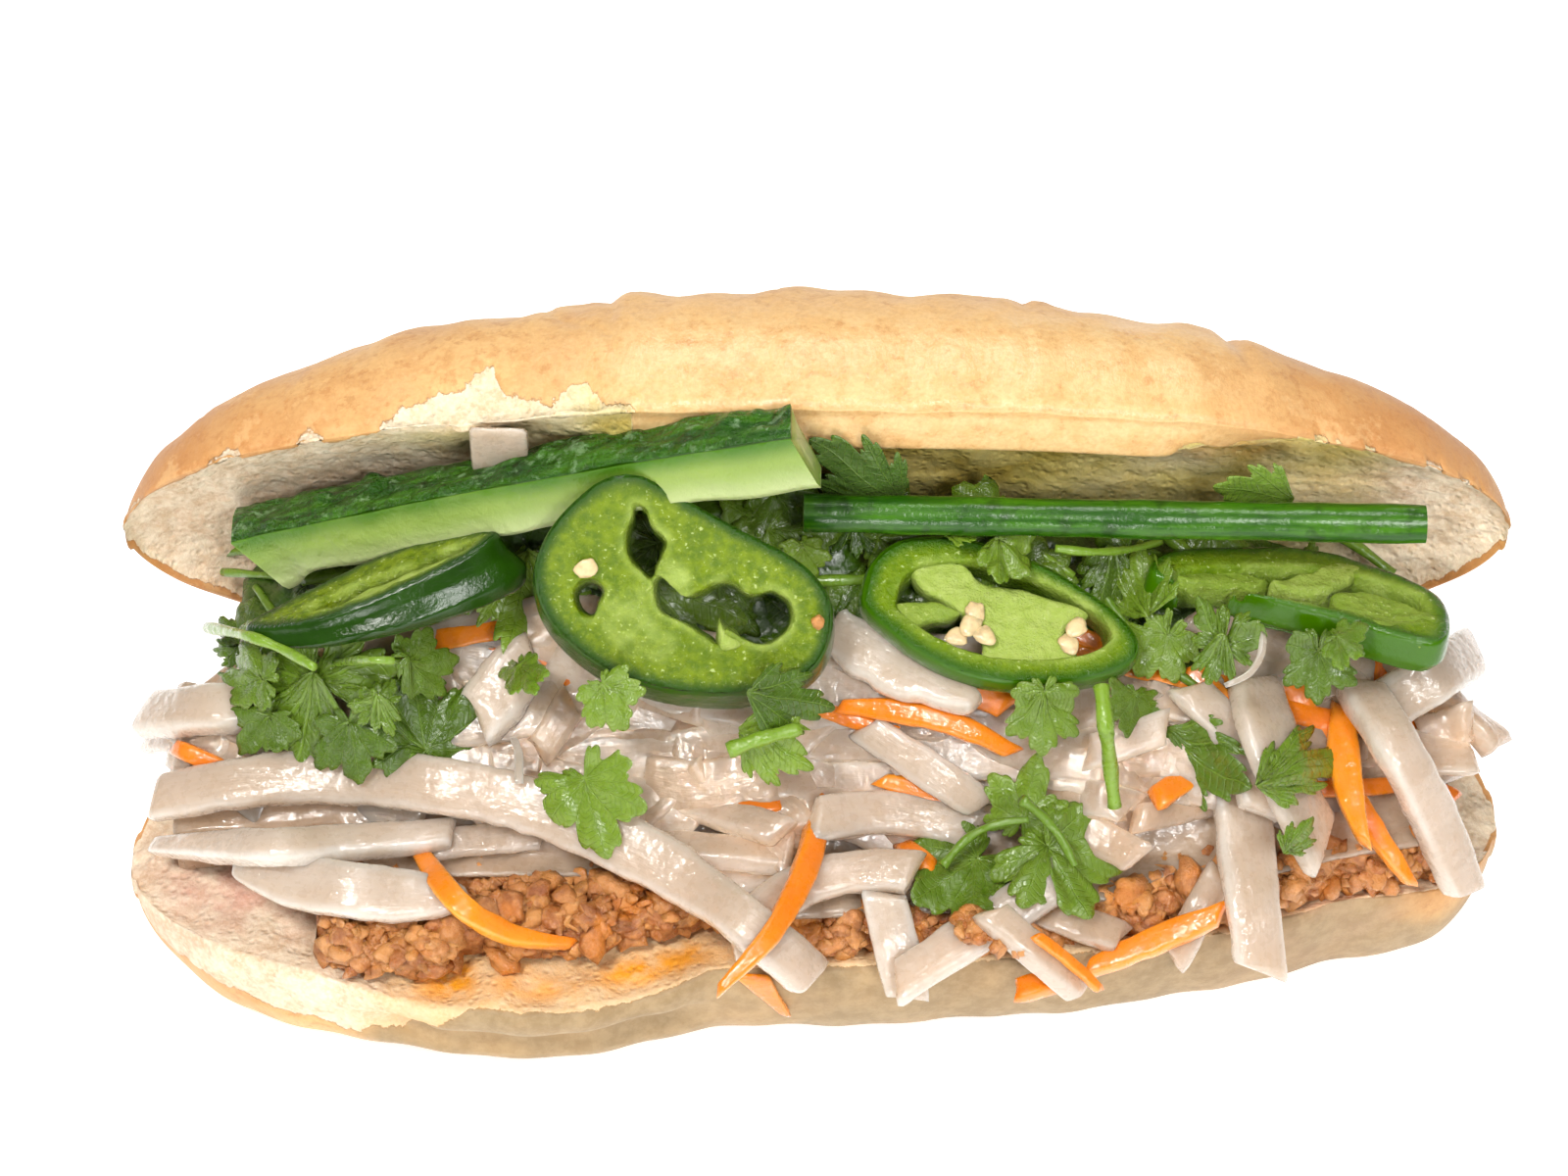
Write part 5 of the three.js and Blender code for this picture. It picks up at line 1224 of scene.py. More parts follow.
def solid_object(points, faces):
    """An object for the modifiers, its faces turned outwards."""
    mesh = bpy.data.meshes.new("part")
    rows = [tuple(map(int, f)) for group in faces for f in group]
    mesh.from_pydata([tuple(p) for p in points * MM], [], rows)
    work = bmesh.new()
    work.from_mesh(mesh)
    bmesh.ops.recalc_face_normals(work, faces=work.faces)
    work.to_mesh(mesh)
    work.free()
    made = bpy.data.objects.new("part", mesh)
    bpy.context.scene.collection.objects.link(made)
    return made


def carve(body, cutters, voxel=0.42, soften=3):
    """The body less the cutters, remeshed with softened edges: (points in mm, faces)."""
    base = solid_object(*body)
    tools = [solid_object(*c) for c in cutters]
    for tool in tools:
        cut = base.modifiers.new("cut", "BOOLEAN")
        cut.operation, cut.solver, cut.object = "DIFFERENCE", "EXACT", tool
    even = base.modifiers.new("even", "REMESH")
    even.mode, even.voxel_size = "VOXEL", voxel * MM
    soft = base.modifiers.new("soft", "SMOOTH")
    soft.factor, soft.iterations = 0.5, soften
    graph = bpy.context.evaluated_depsgraph_get()
    shown = base.evaluated_get(graph)
    mesh = shown.to_mesh()
    points = np.zeros(len(mesh.vertices) * 3)
    mesh.vertices.foreach_get("co", points)
    faces = [np.array([list(f.vertices) for f in mesh.polygons if len(f.vertices) == k]) for k in (3, 4)]
    shown.to_mesh_clear()
    for o in [base] + tools:
        bpy.data.objects.remove(o)
    return points.reshape(-1, 3) / MM, [f for f in faces if len(f)]


def core(xs, front, back, under, over, columns, seed, bumps, sunk):
    """A closed layer between two surfaces, with an uneven top that is sunk under the loose pieces."""
    rings = []
    for place in xs:
        x, y = np.full(columns, place), np.linspace(float(front(place)), float(back(place)), columns)
        low = under(x, y)
        high = np.maximum(over(x, y) - sunk, low + 0.4)
        high = np.maximum(low + 0.3, high + bumps * fbm(np.stack([x, y, high], -1), 4, 3, seed))
        rings.append(np.concatenate([np.stack([x, y, high], -1), np.stack([x, y, low], -1)[::-1]]))
    return closed(np.asarray(rings))


BLOBS = {}


def blob(rng, size, detail, uneven=0.9):
    """A small uneven lump round the origin, of about the given half sizes."""
    if detail not in BLOBS:
        ball = bmesh.new()
        bmesh.ops.create_icosphere(ball, subdivisions=detail, radius=1)
        BLOBS[detail] = (np.array([v.co for v in ball.verts]),
                         np.array([[v.index for v in f.verts] for f in ball.faces]))
        ball.free()
    points, faces = BLOBS[detail]
    swell = 1 + uneven * fbm(points + rng.random(3) * 90, 0.8, 3, int(rng.integers(1, 999)))
    return points * swell[:, None] * np.asarray(size), [faces]


def turned(points, rng):
    """Turned any way, then flattened a little."""
    q = rng.normal(size=4)
    w, x, y, z = q / np.linalg.norm(q)
    rot = np.array([[1 - 2 * (y * y + z * z), 2 * (x * y - z * w), 2 * (x * z + y * w)],
                    [2 * (x * y + z * w), 1 - 2 * (x * x + z * z), 2 * (y * z - x * w)],
                    [2 * (x * z - y * w), 2 * (y * z + x * w), 1 - 2 * (x * x + y * y)]])
    return points @ rot.T * [1, 1, 0.8]


# Pork: a layer of many small lumps.
rng = np.random.default_rng(5)
pork = Heap()
points, faces = core(np.linspace(PORK_LEFT + 0.5, PORK_RIGHT - 0.5, 150),
                     pork_front, lambda x: min(float(back_y(x, 26)), 27),
                     lambda x, y: cut_face(x, y) + 0.4, pork_top, 50, 81, 1.5, 1.6)
pork.add(points, faces, tint=0.1)
for i in range(1900):
    x = rng.uniform(PORK_LEFT + 2, PORK_RIGHT - 2)
    front = float(pork_front(x))
    y = front + (rng.uniform(-0.4, 3) if rng.random() < 0.3 else abs(rng.normal()) * 6.5 + 0.8)
    z = float(pork_top(x, y)) + rng.uniform(-1.9, 0.1)
    if y < front + 2.2:
        z = lerp(float(cut_face(x, y)) + 0.8, z, rng.random())
    big = rng.choice([0.7, 1.0, 1.5, 1.9], p=[0.4, 0.35, 0.18, 0.07])
    pts, faces = blob(rng, big * rng.uniform([1.2, 1.0, 0.8], [2.0, 1.5, 1.1]), 2)
    pork.add(turned(pts, rng) + [x, y, z], faces, tint=rng.random())
pork.piece("pork_layer", PORK, "pork", ["pork"])

# The heap of pickles: a core, short strips every way, then the strips that show.
rng = np.random.default_rng(17)
heap = Heap()
points, faces = core(np.linspace(-98.5, 96.5, 180),
                     lambda x: pickle_front(x) + 9 * smooth(-x, 66, 74), lambda x: float(back_y(x, 33)),
                     lambda x, y: np.where(x < PORK_LEFT - 2, cut_face(x, y) + 0.5, PORK_TOP + 0.3), pickle_top,
                     56, 83, 1.0, 1.6)
# The core takes seed 1, the full painted shade colour, for the gaps between the strips.
heap.add(points, faces, far=points[:, 0], wide=points[:, 1], seed=1.0)
carrot_heap = Heap()


def lay_piece(target, start, end, bow, width, thick, taper, owner, sink, rng, step=10.0, mark=True, **more):
    """Lays a strip and adds it. Its own number, seed, is higher for the strips of the heap, which get more of the
    painted shade colour.
    """
    points, faces, values = strip_shape(lay(start, end, bow, width, thick, taper, owner, sink, step, mark), thick,
                                        rng, **more)
    in_heap = owner == "pickles"
    values["seed"] = values["seed"] * (0.6 if mark and not in_heap else 0.5) + (0.4 if in_heap else 0)
    target.add(points, faces, **values)


def ends_of(x, v, half, turn):
    dx, dv = half * math.cos(turn), 0.8 * half * math.sin(turn)
    return (x - dx, v - dv), (x + dx, v + dv)


def fillers(count, state):
    """The solids' own rows of short strips, from the same small random generator."""
    def random():
        nonlocal state
        state = (state * 1664525 + 1013904223) % 4294967296
        return state / 4294967296

    rows = []
    for i in range(count):
        x = lerp(-94, 94, (i + random()) / count)
        v = lerp(-14, -27, random()) - 9 * random() * float(skirt_share(x))
        turn = lerp(-1.2, 1.2, random())
        half = lerp(6, 10, random()) * float(end_share(x * 0.9))
        rows.append(("d", *ends_of(x, v, half, turn), 0, lerp(4, 6.5, random()), 3, 0))
    return rows


for kind, *row in fillers(9, 7) + HEAPED:
    lay_piece(heap, *row, "pickles", 1.0, rng, 11)
SLABS, CARROT_SHARE = 130, 0.12
for i in range(SLABS):
    x = rng.uniform(-90, 92)
    v = rng.uniform(-30, lerp(-9, -20, float(smooth(abs(x), 68, 88)))) - 9 * rng.random() * float(skirt_share(x))
    turn = rng.normal(-0.2, 0.4)
    places = ends_of(x, v, rng.uniform(11, 20) * float(end_share(x * 0.9)), turn)
    sink = lerp(4.0, 1.8, i / SLABS)
    if rng.random() < CARROT_SHARE:
        lay_piece(carrot_heap, *places, rng.uniform(-1.5, 1.5), rng.uniform(2.5, 4), 2.2, 0, "pickles", sink, rng,
                  5, False)
    else:
        lay_piece(heap, *places, rng.uniform(-3, 3), rng.uniform(5, 9.5), 1.9, 0, "pickles", sink, rng,
                  5, False, rough=0.5, slant=rng.uniform(-0.8, 0.8), spacing=1.0)
for kind, *row in AMONG:
    lay_piece(heap if kind == "d" else carrot_heap, *row, "pickles", 1.0, rng, 6, False)
heap.piece("pickle_heap", DAIKON, "pickles", ["pickles"])
carrot_heap.piece("carrot_bits", CARROT, "carrot", ["pickles"])


def herbs_floor(x):
    return PORK_TOP + PICKLE_RISE * float(end_share(x)) - SINK


# Herbs behind: a core in the darkest green, painted shade under leaves and stems every way.
rng = np.random.default_rng(23)
herbs = Heap()
points, faces = core(np.linspace(-89, 89, 150),
                     lambda x: HERB_FRONT + 0.8, lambda x: float(back_y(x, herbs_floor(x) + 10)),
                     lambda x, y: np.full(x.shape, herbs_floor(float(x[0]))),
                     lambda x, y: pile_top(x, y) - 7 * smooth(y, 15, 21) * smooth(x, 2, 12), 40, 85, 1.0, 2.2)
herbs.add(points, faces, angle=0.2, radius=0.5, tint=0.0, edge=0, under=0, stem=0)
for i in range(46):
    x = rng.uniform(-86, 88)
    v = rng.uniform(-9, 12) * (1 - 0.3 * abs(x) / 90) - 8 * (x / 90) ** 2
    add_leaf(herbs, (x, v), rng.uniform(5, 8.5), rng.uniform(0, 360), rng.choice(["fan", "fan", "trio", "blade"]),
             "herbs", rng, sink=0.6, tint=rng.uniform(0.0, 0.5), curl=rng.uniform(0.8, 2.2), spokes=44, rings=6,
             lift=rng.uniform(-0.5, 0.8), mark=False)
for i in range(22):
    x, v = rng.uniform(-80, 84), rng.uniform(-8, 8)
    turn = rng.uniform(-0.9, 0.9)
    dx, dv = 11 * math.cos(turn), 11 * math.sin(turn)
    lay_stem(herbs, (x - dx, v - dv), (x + dx, v + dv), rng.uniform(-2, 2), rng.uniform(1.3, 2.2), "herbs", rng,
             tint=rng.uniform(0.2, 0.8), sink=0.5, mark=False)
for at, size in (((-5, 11), 9.5), ((60, 5), 6), ((-72, 0), 8), ((46, 2), 7), ((-30, 7), 7), ((-84, -8), 7),
                 ((82, -7), 7), ((22, 6), 6)):
    add_leaf(herbs, at, size, rng.uniform(0, 360), "fan", "herbs", rng, sink=0.8, tint=rng.uniform(0.1, 0.5),
             curl=1.4)
herbs.piece("herb_bundle", LEAF, "cilantro", ["herbs"])

# Loose pickles, each in its own place.
rng = np.random.default_rng(31)
KINDS = {"d": ("daikon", DAIKON, {}), "c": ("carrot", CARROT, dict(rough=0.5, slant=0.9, ends=(0.6, 0.75)))}
SHAPES = {
    "daikon_2": dict(ends=(0.55, 0.85), slant=0.6),
    "daikon_6": dict(ends=(0.95, 0.35), slant=0.2, rough=0.8),
    "daikon_7": dict(ends=(0.6, 0.7), slant=0.1, rough=0.2, blunt=True),
    "daikon_8": dict(ends=(0.5, 0.8), slant=0.4),
    "daikon_9": dict(ends=(0.85, 0.8), slant=0.3),
    "daikon_14": dict(ends=(0.9, 1.0), slant=-0.5),
}
counts = {"d": 0, "c": 0}
for kind, *row, taper in LOOSE:
    counts[kind] += 1
    word, material, usual = KINDS[kind]
    name = "%s_%d" % (word, counts[kind])
    one = Heap()
    lay_piece(one, *row, taper * 0.8, name, 0.0, rng, **dict(usual, **SHAPES.get(name, {})))
    one.piece(name + "_strip", material, word, [name])

# The square end of one that leans on the crumb behind the left cucumber.
corners = np.array([(-52.8, 24.4), (-43.8, 24.2), (-43.2, 15.0), (-52.0, 15.2)])
outline = np.concatenate([a + (b - a) * np.linspace(0.06, 0.94, 9)[:, None]
                          for a, b in zip(corners, np.roll(corners, -1, 0))])
middle = outline.mean(0)
rows = [along_sight_to_face(middle + (outline - middle) * (1 - 0.05 * abs(off - 0.3) / 1.5),
                            np.full(len(outline), off))
        for off in np.linspace(-1.2, 1.8, 7)]
one = Heap()
points, faces = closed(np.array(rows), 0.3)
one.add(points + 0.12 * noise3(points, 2.5, 1, 2, 3), faces, far=points[:, 2], wide=points[:, 0], seed=0.2)
one.piece("daikon_17_strip", DAIKON, "daikon", ["daikon_17"])


# ------------------------------------------------------------------ jalapeno slices
def to_line(points, line):
    """Distance from 2-D points to a closed line, positive inside."""
    a = np.asarray(line, float)
    b = np.roll(a, -1, 0)
    d = b - a
    p = points[:, None] - a[None]
    t = np.clip((p * d).sum(-1) / np.maximum((d * d).sum(-1), 1e-9), 0, 1)
    near = np.linalg.norm(p - t[..., None] * d, axis=-1).min(1)
    crosses = ((a[None, :, 1] > points[:, None, 1]) != (b[None, :, 1] > points[:, None, 1]))
    with np.errstate(divide="ignore", invalid="ignore"):
        at = a[None, :, 0] + (points[:, None, 1] - a[None, :, 1]) * d[None, :, 0] / d[None, :, 1]
    inside = (crosses & (points[:, None, 0] < at)).sum(1) % 2 == 1
    return np.where(inside, near, -near)


def round_line(line, count=96):
    """A smooth closed line through the given points."""
    line = np.asarray(line, float)
    loop = np.concatenate([line[-2:], line, line[:3]])
    return catmull(loop, 2 + np.arange(count) / count * len(line))


def prism(line, levels):
    """A closed shape from a line at several levels: rows of (height, inset)."""
    line = np.asarray(line)
    middle = line.mean(0)
    size = np.linalg.norm(line - middle, axis=1, keepdims=True)
    rings = [np.concatenate([middle + (line - middle) * (1 - inset / size), np.full((len(line), 1), h)], 1)
             for h, inset in levels]
    return closed(np.asarray(rings))


rng = np.random.default_rng(41)
seed_heap = Heap()
on_face = {}


def add_seed(middle, axes, spin):
    points, faces = blob(rng, (1.75, 1.4, 0.55), 3, 0.3)
    points = points + np.array([0.25, 0, 0]) * (points[:, 1:2] ** 2)
    c, s = math.cos(spin), math.sin(spin)
    points = points @ np.array([[c, s, 0], [-s, c, 0], [0, 0, 1]])
    seed_heap.add(points @ axes + middle, faces)


def pepper(name, at, lift, facing, turn, size, thick, lit, face, hollows, plates, seeds=(), widen=0.0,
           lean=(0.0, 0.0), wedge=(1.0, 1.0)):
    """A slice: face, hollows and plates are lines in millimetres on the sheet, from the slice's middle.

    Plates are membranes, as (line, low, high, how pale), and seeds are (place, height, turn). The walls go
    down from the face along lean, and wedge thins the slice from its left end to its right."""
    normal = unit(facing)
    long = unit(np.array([1, 0, 0]) - normal * normal[0])
    t = math.radians(turn)
    long = long * math.cos(t) + np.cross(normal, long) * math.sin(t)
    wide = np.cross(normal, long)
    frame_of = np.stack([long, wide, normal])
    centre = on_pile(at, lift)[0]
    on_sheet = np.array([[long[0], wide[0]], [long @ SHEET_UP, wide @ SHEET_UP]])
    half = thick / 2
    off = half * np.array([normal[0], normal @ SHEET_UP])

    def to_plane(line):
        """From the sheet to the slice's own plane."""
        return (np.asarray(line, float) - off) @ np.linalg.inv(on_sheet).T

    def to_space(place, height):
        return np.append(to_plane([place])[0], height) @ frame_of + centre

    outer = round_line(to_plane(face))
    holes = [round_line(to_plane(h), 60) for h in hollows]

    def slanted(shape, share=1.0):
        """The shape with its walls along lean and its depth thinned by wedge."""
        p = shape[0]
        below = half - p[:, 2]
        deep_here = np.where(below > 0,
                             below * lerp(wedge[0], wedge[1], np.clip(p[:, 0] / size[0] / 2 + 0.5, 0, 1)), below)
        flat = p[:, :2] - share * deep_here[:, None] * np.asarray(lean)
        return np.concatenate([flat, (half - deep_here)[:, None]], 1), shape[1]

    body = slanted(prism(outer, [(-half, 1.2 - widen), (-half + 1, 0.4 - widen), (-0.4 * half, -0.35 - widen),
                                 (0.3 * half, -0.3), (half - 0.7, -0.05), (half, 0.22)]))
    cutters = [slanted(prism(h, [(-half - 1, 0.9), (half - 1.2, 0.25), (half - 0.3, 0.0), (half + 1, -0.5)]), 0.5)
               for h in holes]
    points, faces = carve(body, cutters)
    flat = points[:, :2] + (half - points[:, 2:]) * np.asarray(lean)
    edge = to_line(flat, outer)
    hole = np.min([np.abs(to_line(flat, h)) for h in holes], axis=0) if holes else np.full(len(flat), 9.0)
    skin = smooth(edge, 0.75, 0.3)
    rib = smooth(hole, 1.6, 0.2) * (0.35 + 0.5 * noise(points, 2.5, 31)) * (1 - skin)
    # deep: how far below the cut face, where the shader paints shade in the hollows.
    deep = smooth(points[:, 2], half - 1.0, half - 4.5) * (1 - skin)
    grain = fbm(points + 13 * len(name), 2.2, 3, 7) * (1 - 0.6 * skin)
    points[:, 2] += 0.28 * grain
    points[:, :2] += 0.14 * noise3(points, 1.8, 3, 4) * (1 - skin)[:, None]
    for line, low, high, pale in plates:
        if high > half:  # a membrane flush with the cut face
            inside = smooth(to_line(flat, round_line(to_plane(line), 60)), -0.6, 1.6) * (1 - skin)
            rib = np.maximum(rib, pale * inside * (0.7 + 0.5 * noise(points, 1.6, 33)))
            points[:, 2] += 0.35 * inside * (0.4 + noise(points, 1.3, 34))
    slice_heap = Heap()
    slice_heap.add(points @ frame_of + centre, faces, skin=skin, rib=rib, rim=smooth(edge, 3.4, 0.2), deep=deep,
                   lit=lit)
    for line, low, high, pale in plates:
        if high > half:  # done above
            continue
        p, f = carve(prism(round_line(to_plane(line), 60),
                           [(low, 0.8), (low + 1, 0.1), (high - 0.8, 0), (high, 0.6)]), [], 0.36, 4)
        p[:, 2] += 0.9 * fbm(p * [0.5, 1, 1], 3.0, 3, 9)
        p[:, :2] += 0.35 * noise3(p, 2.4, 5, 6)
        slice_heap.add(p @ frame_of + centre, f, skin=0, rib=pale, rim=0, deep=smooth(p[:, 2], high - 1, low),
                       lit=lit)
    slice_heap.piece(name + "_slice", PEPPER, "jalapeno", [name])
    on_face[name] = to_space
    for place, height, spin in seeds:
        add_seed(to_space(place, height), frame_of, spin)
    a, b = np.meshgrid(np.arange(-size[0], size[0], 0.7), np.arange(-size[1], size[1], 0.7))
    keep = np.hypot(a / size[0], b / size[1]) <= 1
    raise_map(np.stack([a[keep], b[keep], np.full(keep.sum(), half)], -1) @ frame_of + centre, name)


def scaled(line, kx, kv, dx, dv):
    return [(x * kx + dx, v * kv + dv) for x, v in line]


J1 = [(-20.7, -6.6), (-14.3, -2.5), (-7.7, 0.8), (-0.6, 4.1), (6.5, 6.4), (12.1, 7.5), (16.9, 7.8),
      (15.9, 5.9), (10.2, 2.3), (1.7, -1.7), (-5.3, -4.5), (-12.4, -6.5)]
J2 = [(-22.1, 2.7), (-20.4, 7.6), (-17.1, 11.9), (-12.1, 15.9), (-7.2, 16.8), (-2.3, 14.7),
      (2.6, 11.9), (9.4, 8.2), (14.9, 5.4), (18.9, 2.4), (21.4, -1.3), (21.8, -6), (20.4, -10.3),
      (17.4, -13.3), (12.6, -15.2), (6.9, -16), (-0.5, -15.6), (-6.6, -14.2), (-12.8, -11.6),
      (-18.3, -7), (-21.2, -2.6)]
J3 = [(-20.6, 3), (-19.1, 7.9), (-15.4, 11), (-10.5, 11.9), (-5, 11.6), (1.2, 9.7), (7.3, 7.3),
      (12.8, 3.9), (17.4, 0.5), (20.5, -3.2), (20.2, -6.5), (15.9, -9), (9.2, -10.2), (1.2, -10.2),
      (-6.2, -8.6), (-12.3, -5.6), (-17.3, -1.8), (-19.8, 0.6)]
J4 = [(-22.9, 5.5), (-21.5, 7.1), (-17.6, 8.1), (-10.6, 8.4), (-1.4, 8.5), (5.6, 7.5), (10.2, 6.1),
      (16.2, 3.9), (20.9, 1.1), (22.2, -1.9), (21.3, -5.1), (18.5, -6.1), (12.5, -4.7), (7, -2.8),
      (-1.4, -0.5), (-10.6, 1.8), (-17.6, 2.7), (-22.2, 4.1)]
pepper("jalapeno_1", (-65, 1), 10, (-0.35, 0.3, 0.88), 0, (21, 9), 10, 0.05, J1,
       [[(-11, -3.8), (-4, -0.4), (3, 2.4), (9, 4.6), (14, 6.3), (12, 4.6), (6, 1.6), (0, -1), (-6, -3.4)]],
       [([(-10, -3.6), (-3, -0.7), (4, 2), (11, 5), (13, 5.4), (8, 2.8), (1, -0.4), (-6, -3)], -3, 4.3, 0.9)],
       widen=1.6, wedge=(0.25, 1.0))
pepper("jalapeno_2", (-20, 0), 21.5, (0, -0.87, 0.49), 0, (21.5, 17.5), 6, 0.3, J2, [
    [(-7.2, 12.4), (-5.6, 11.6), (-4.8, 9.6), (-2.6, 7), (-2.9, 5.4), (-4.2, 2.7), (-4.5, 0.8), (-6.6, 2.7),
     (-8.3, 4.8), (-8.5, 8.2), (-7.5, 10.7)],
    [(-3.8, 2.1), (-0.5, -1), (2, -0.7), (4.4, 0.8), (6.9, 1.1), (10, -1), (13, -0.4), (15.5, -1.9), (16, -4.7),
     (14.3, -7.2), (11.2, -8.4), (8.1, -7.2), (6, -5.9), (5.1, -9), (3.8, -7.8), (0.1, -5.3), (-3.5, -3.5),
     (-4.5, -0.4)],
    [(-16.4, -0.4), (-14.3, 1.4), (-11.8, 0.2), (-12.4, -2.2), (-13.7, -4.4), (-15.8, -3.2)]],
    [([(-11.5, -1), (-8, 0.6), (-4.6, 0.4), (-4.4, -3.6), (-1, -7.5), (-3, -11), (-8, -10.5), (-12, -7.5),
       (-12.8, -4)], 0, 3.5, 0.6),
     ([(-3.2, 4.5), (-0.5, 4.2), (1.2, 1.6), (0.8, -0.2), (-1.6, -0.2), (-3.8, 1.8)], -1, 3.7, 0.9),
     ([(5.2, -5.4), (6.2, -6.6), (8.4, -8.4), (6.6, -9.6), (4.8, -9.2)], -2, 2.95, 0.9)],
    [((-14.6, 3.0), 3.6, 0.3)], lean=(0, 0.85))
pepper("jalapeno_3", (27.5, -4), 7, (0.06, -0.37, 0.93), -12, (20.5, 13.5), 6, 0.75, J3,
       [scaled(J3, 0.78, 0.66, 0.5, 0.2)],
       [([(-13.5, 8), (-6.2, 7.9), (-3.1, 5.4), (3, 4.2), (6.7, 3.1), (13.1, 0.8), (12.2, -1.3), (9.8, -2.8),
          (11.7, -6.3), (6.7, -7.6), (-1.9, -7.4), (-2.5, -3.8), (-4.4, -1), (-7.4, 1.8), (-11.7, 4.2)],
         -2.6, 2.5, 1.0),
        ([(-17.5, 1.5), (-10, 2.6), (-5.6, 0.8), (-8, -0.4), (-14, -1.5)], -2.6, 1.6, 0.5)],
       [((-6.6, -3.2), 2.6, 0.4), ((-4.6, -1.8), 3.2, 1.4), ((-2.2, -3.4), 3.4, 2.6), ((-3.6, 0.2), 3.0, 2.0),
        ((11.2, -2.2), 3.2, 0.9), ((10.4, -4.4), 2.8, 2.2)])
pepper("jalapeno_4", (73, -2), 8, (0.12, 0.2, 0.97), 2, (23, 10.5), 6.5, 0.85, J4,
       [scaled(J4, 0.84, 0.56, -0.2, 0.6)],
       [([(-20, 5.4), (-12, 5.8), (-4.6, 4.4), (-6, 3.2), (-12, 3.4), (-19, 4)], -3, 2.2, 0.35),
        ([(-4.6, 3), (0.5, 4.4), (6, 6), (9.8, 5), (5.1, 2.3), (0.5, 1.6)], -3, 3.2, 0.7),
        ([(4.5, 1.6), (10.2, 1.9), (15.3, 0.3), (20.8, -2.6), (21.3, -5.2), (17.1, -5.9), (12.5, -4.2),
          (6.5, -1.6)], -3, 3.0, 0.35)])


# ------------------------------------------------------------------ cucumber spears
def spear(name, start, end, depth, width, skin, flesh, face, bow, seed, warts, slants=(0, 0)):
    """A quarter of a cucumber: a rounded skin above a wedge of flesh, from the sheet point start to end.

    Depth is each end's y, face is the angle by which the skin turns up from the eye, and slants are how far
    the flesh runs past the skin at the ends."""
    a = along_sight_to_depth(np.array(start, float), depth[0])
    b = along_sight_to_depth(np.array(end, float), depth[1])
    out = TO_EYE * math.cos(face) + SHEET_UP * math.sin(face)
    across = np.cross([1.0, 0, 0], out)
    s = np.linspace(0, 1, 170)
    middle = a + (b - a) * s[:, None] + SHEET_UP * (4 * bow * s * (1 - s))[:, None]
    angle = np.linspace(-0.5, 0.5, 34) * math.pi  # of the skin, from one edge to the other
    arc = np.stack([width / 2 * np.sin(angle), skin * np.cos(angle)], -1)
    right = np.linspace([width * 0.5, 0], [width * 0.44, -flesh * 0.86], 16)[1:]
    under = np.linspace([width * 0.36, -flesh * 0.97], [-width * 0.36, -flesh], 12)
    left = np.linspace([-width * 0.44, -flesh * 0.86], [-width * 0.5, 0], 16)[:-1]
    section = np.concatenate([arc, right, under, left])
    is_skin = np.concatenate([(np.abs(np.sin(angle)) < 0.995).astype(float), np.zeros(len(section) - len(angle))])
    inside = np.clip(-section[:, 1] / flesh, 0, 1)
    rings, values = [], []  # values: skin, depth, far, wide
    for point, along in zip(middle, s * 90):
        grow = 1 + 0.05 * wobble(along, width, 2)
        rings.append(point + (across * section[:, :1] + out * section[:, 1:]) * grow)
        values.append(np.stack([is_skin, inside, np.full(len(section), along), section[:, 0]], -1))
    rings, values = np.array(rings), np.array(values)
    lumps = fbm(rings * [0.5, 1, 1], 3.2, 3, seed) * 0.55 + np.maximum(0, noise(rings, 4.5, seed + 3) - 0.35) * 1.6
    bulge = np.cos(np.clip(section[:, 0] / width * 2, -1, 1) * 1.2)  # least at the edges of the skin
    rings = rings + out * (lumps * warts * is_skin * bulge)[..., None]
    rings[..., 0] += (slants[0] * smooth(s, 0.16, 0)[:, None] * inside
                      + slants[1] * smooth(s, 0.8, 1)[:, None] * inside)
    rings = rings + across * (0.18 * fbm(rings * [0.15, 1, 1], 2.2, 2, seed + 9) * (1 - is_skin)[None])[..., None]
    all_rings, all_values = list(rings), list(values)
    for at, near, put in ((0, 2, 0), (-1, -3, None)):  # the cut ends, ring by ring inwards
        mid = rings[at].mean(0)
        outwards = unit(mid - rings[near].mean(0))
        for share in (0.97, 0.9, 0.7, 0.4):
            v = values[at].copy()
            v[:, 0] = v[:, 0] * (share > 0.95) * 0.6
            v[:, 1] = np.clip(0.15 + (1 - share) * 1.2, 0, 1)
            where = len(all_rings) if put is None else put
            all_rings.insert(where, mid + (rings[at] - mid) * share + (0.25 * (1 - share)) * outwards)
            all_values.insert(where, v)
    points, faces = closed(np.array(all_rings))
    v = np.concatenate([np.array(all_values).reshape(-1, 4), [[0, 0.9, 0, 0], [0, 0.9, 0, 0]]])
    one = Heap()
    one.add(points, faces, skin=v[:, 0], depth=v[:, 1], far=v[:, 2], wide=v[:, 3], wart=warts)
    made = one.piece(name + "_spear", CUCUMBER, "cucumber", [name])
    made.data.set_sharp_from_angle(angle=math.radians(48))


spear("cucumber_left", (-88, 9), (-4, 24.6), (24, 12.5), 11, 2.2, 8.5, math.radians(65), 0.8, 91, 2.4, (8.5, 4.5))
spear("cucumber_right", (-2, 11.3), (92, 9.6), (17, 15), 5.8, 2.2, 4, math.radians(-8), 0, 95, 0.1)

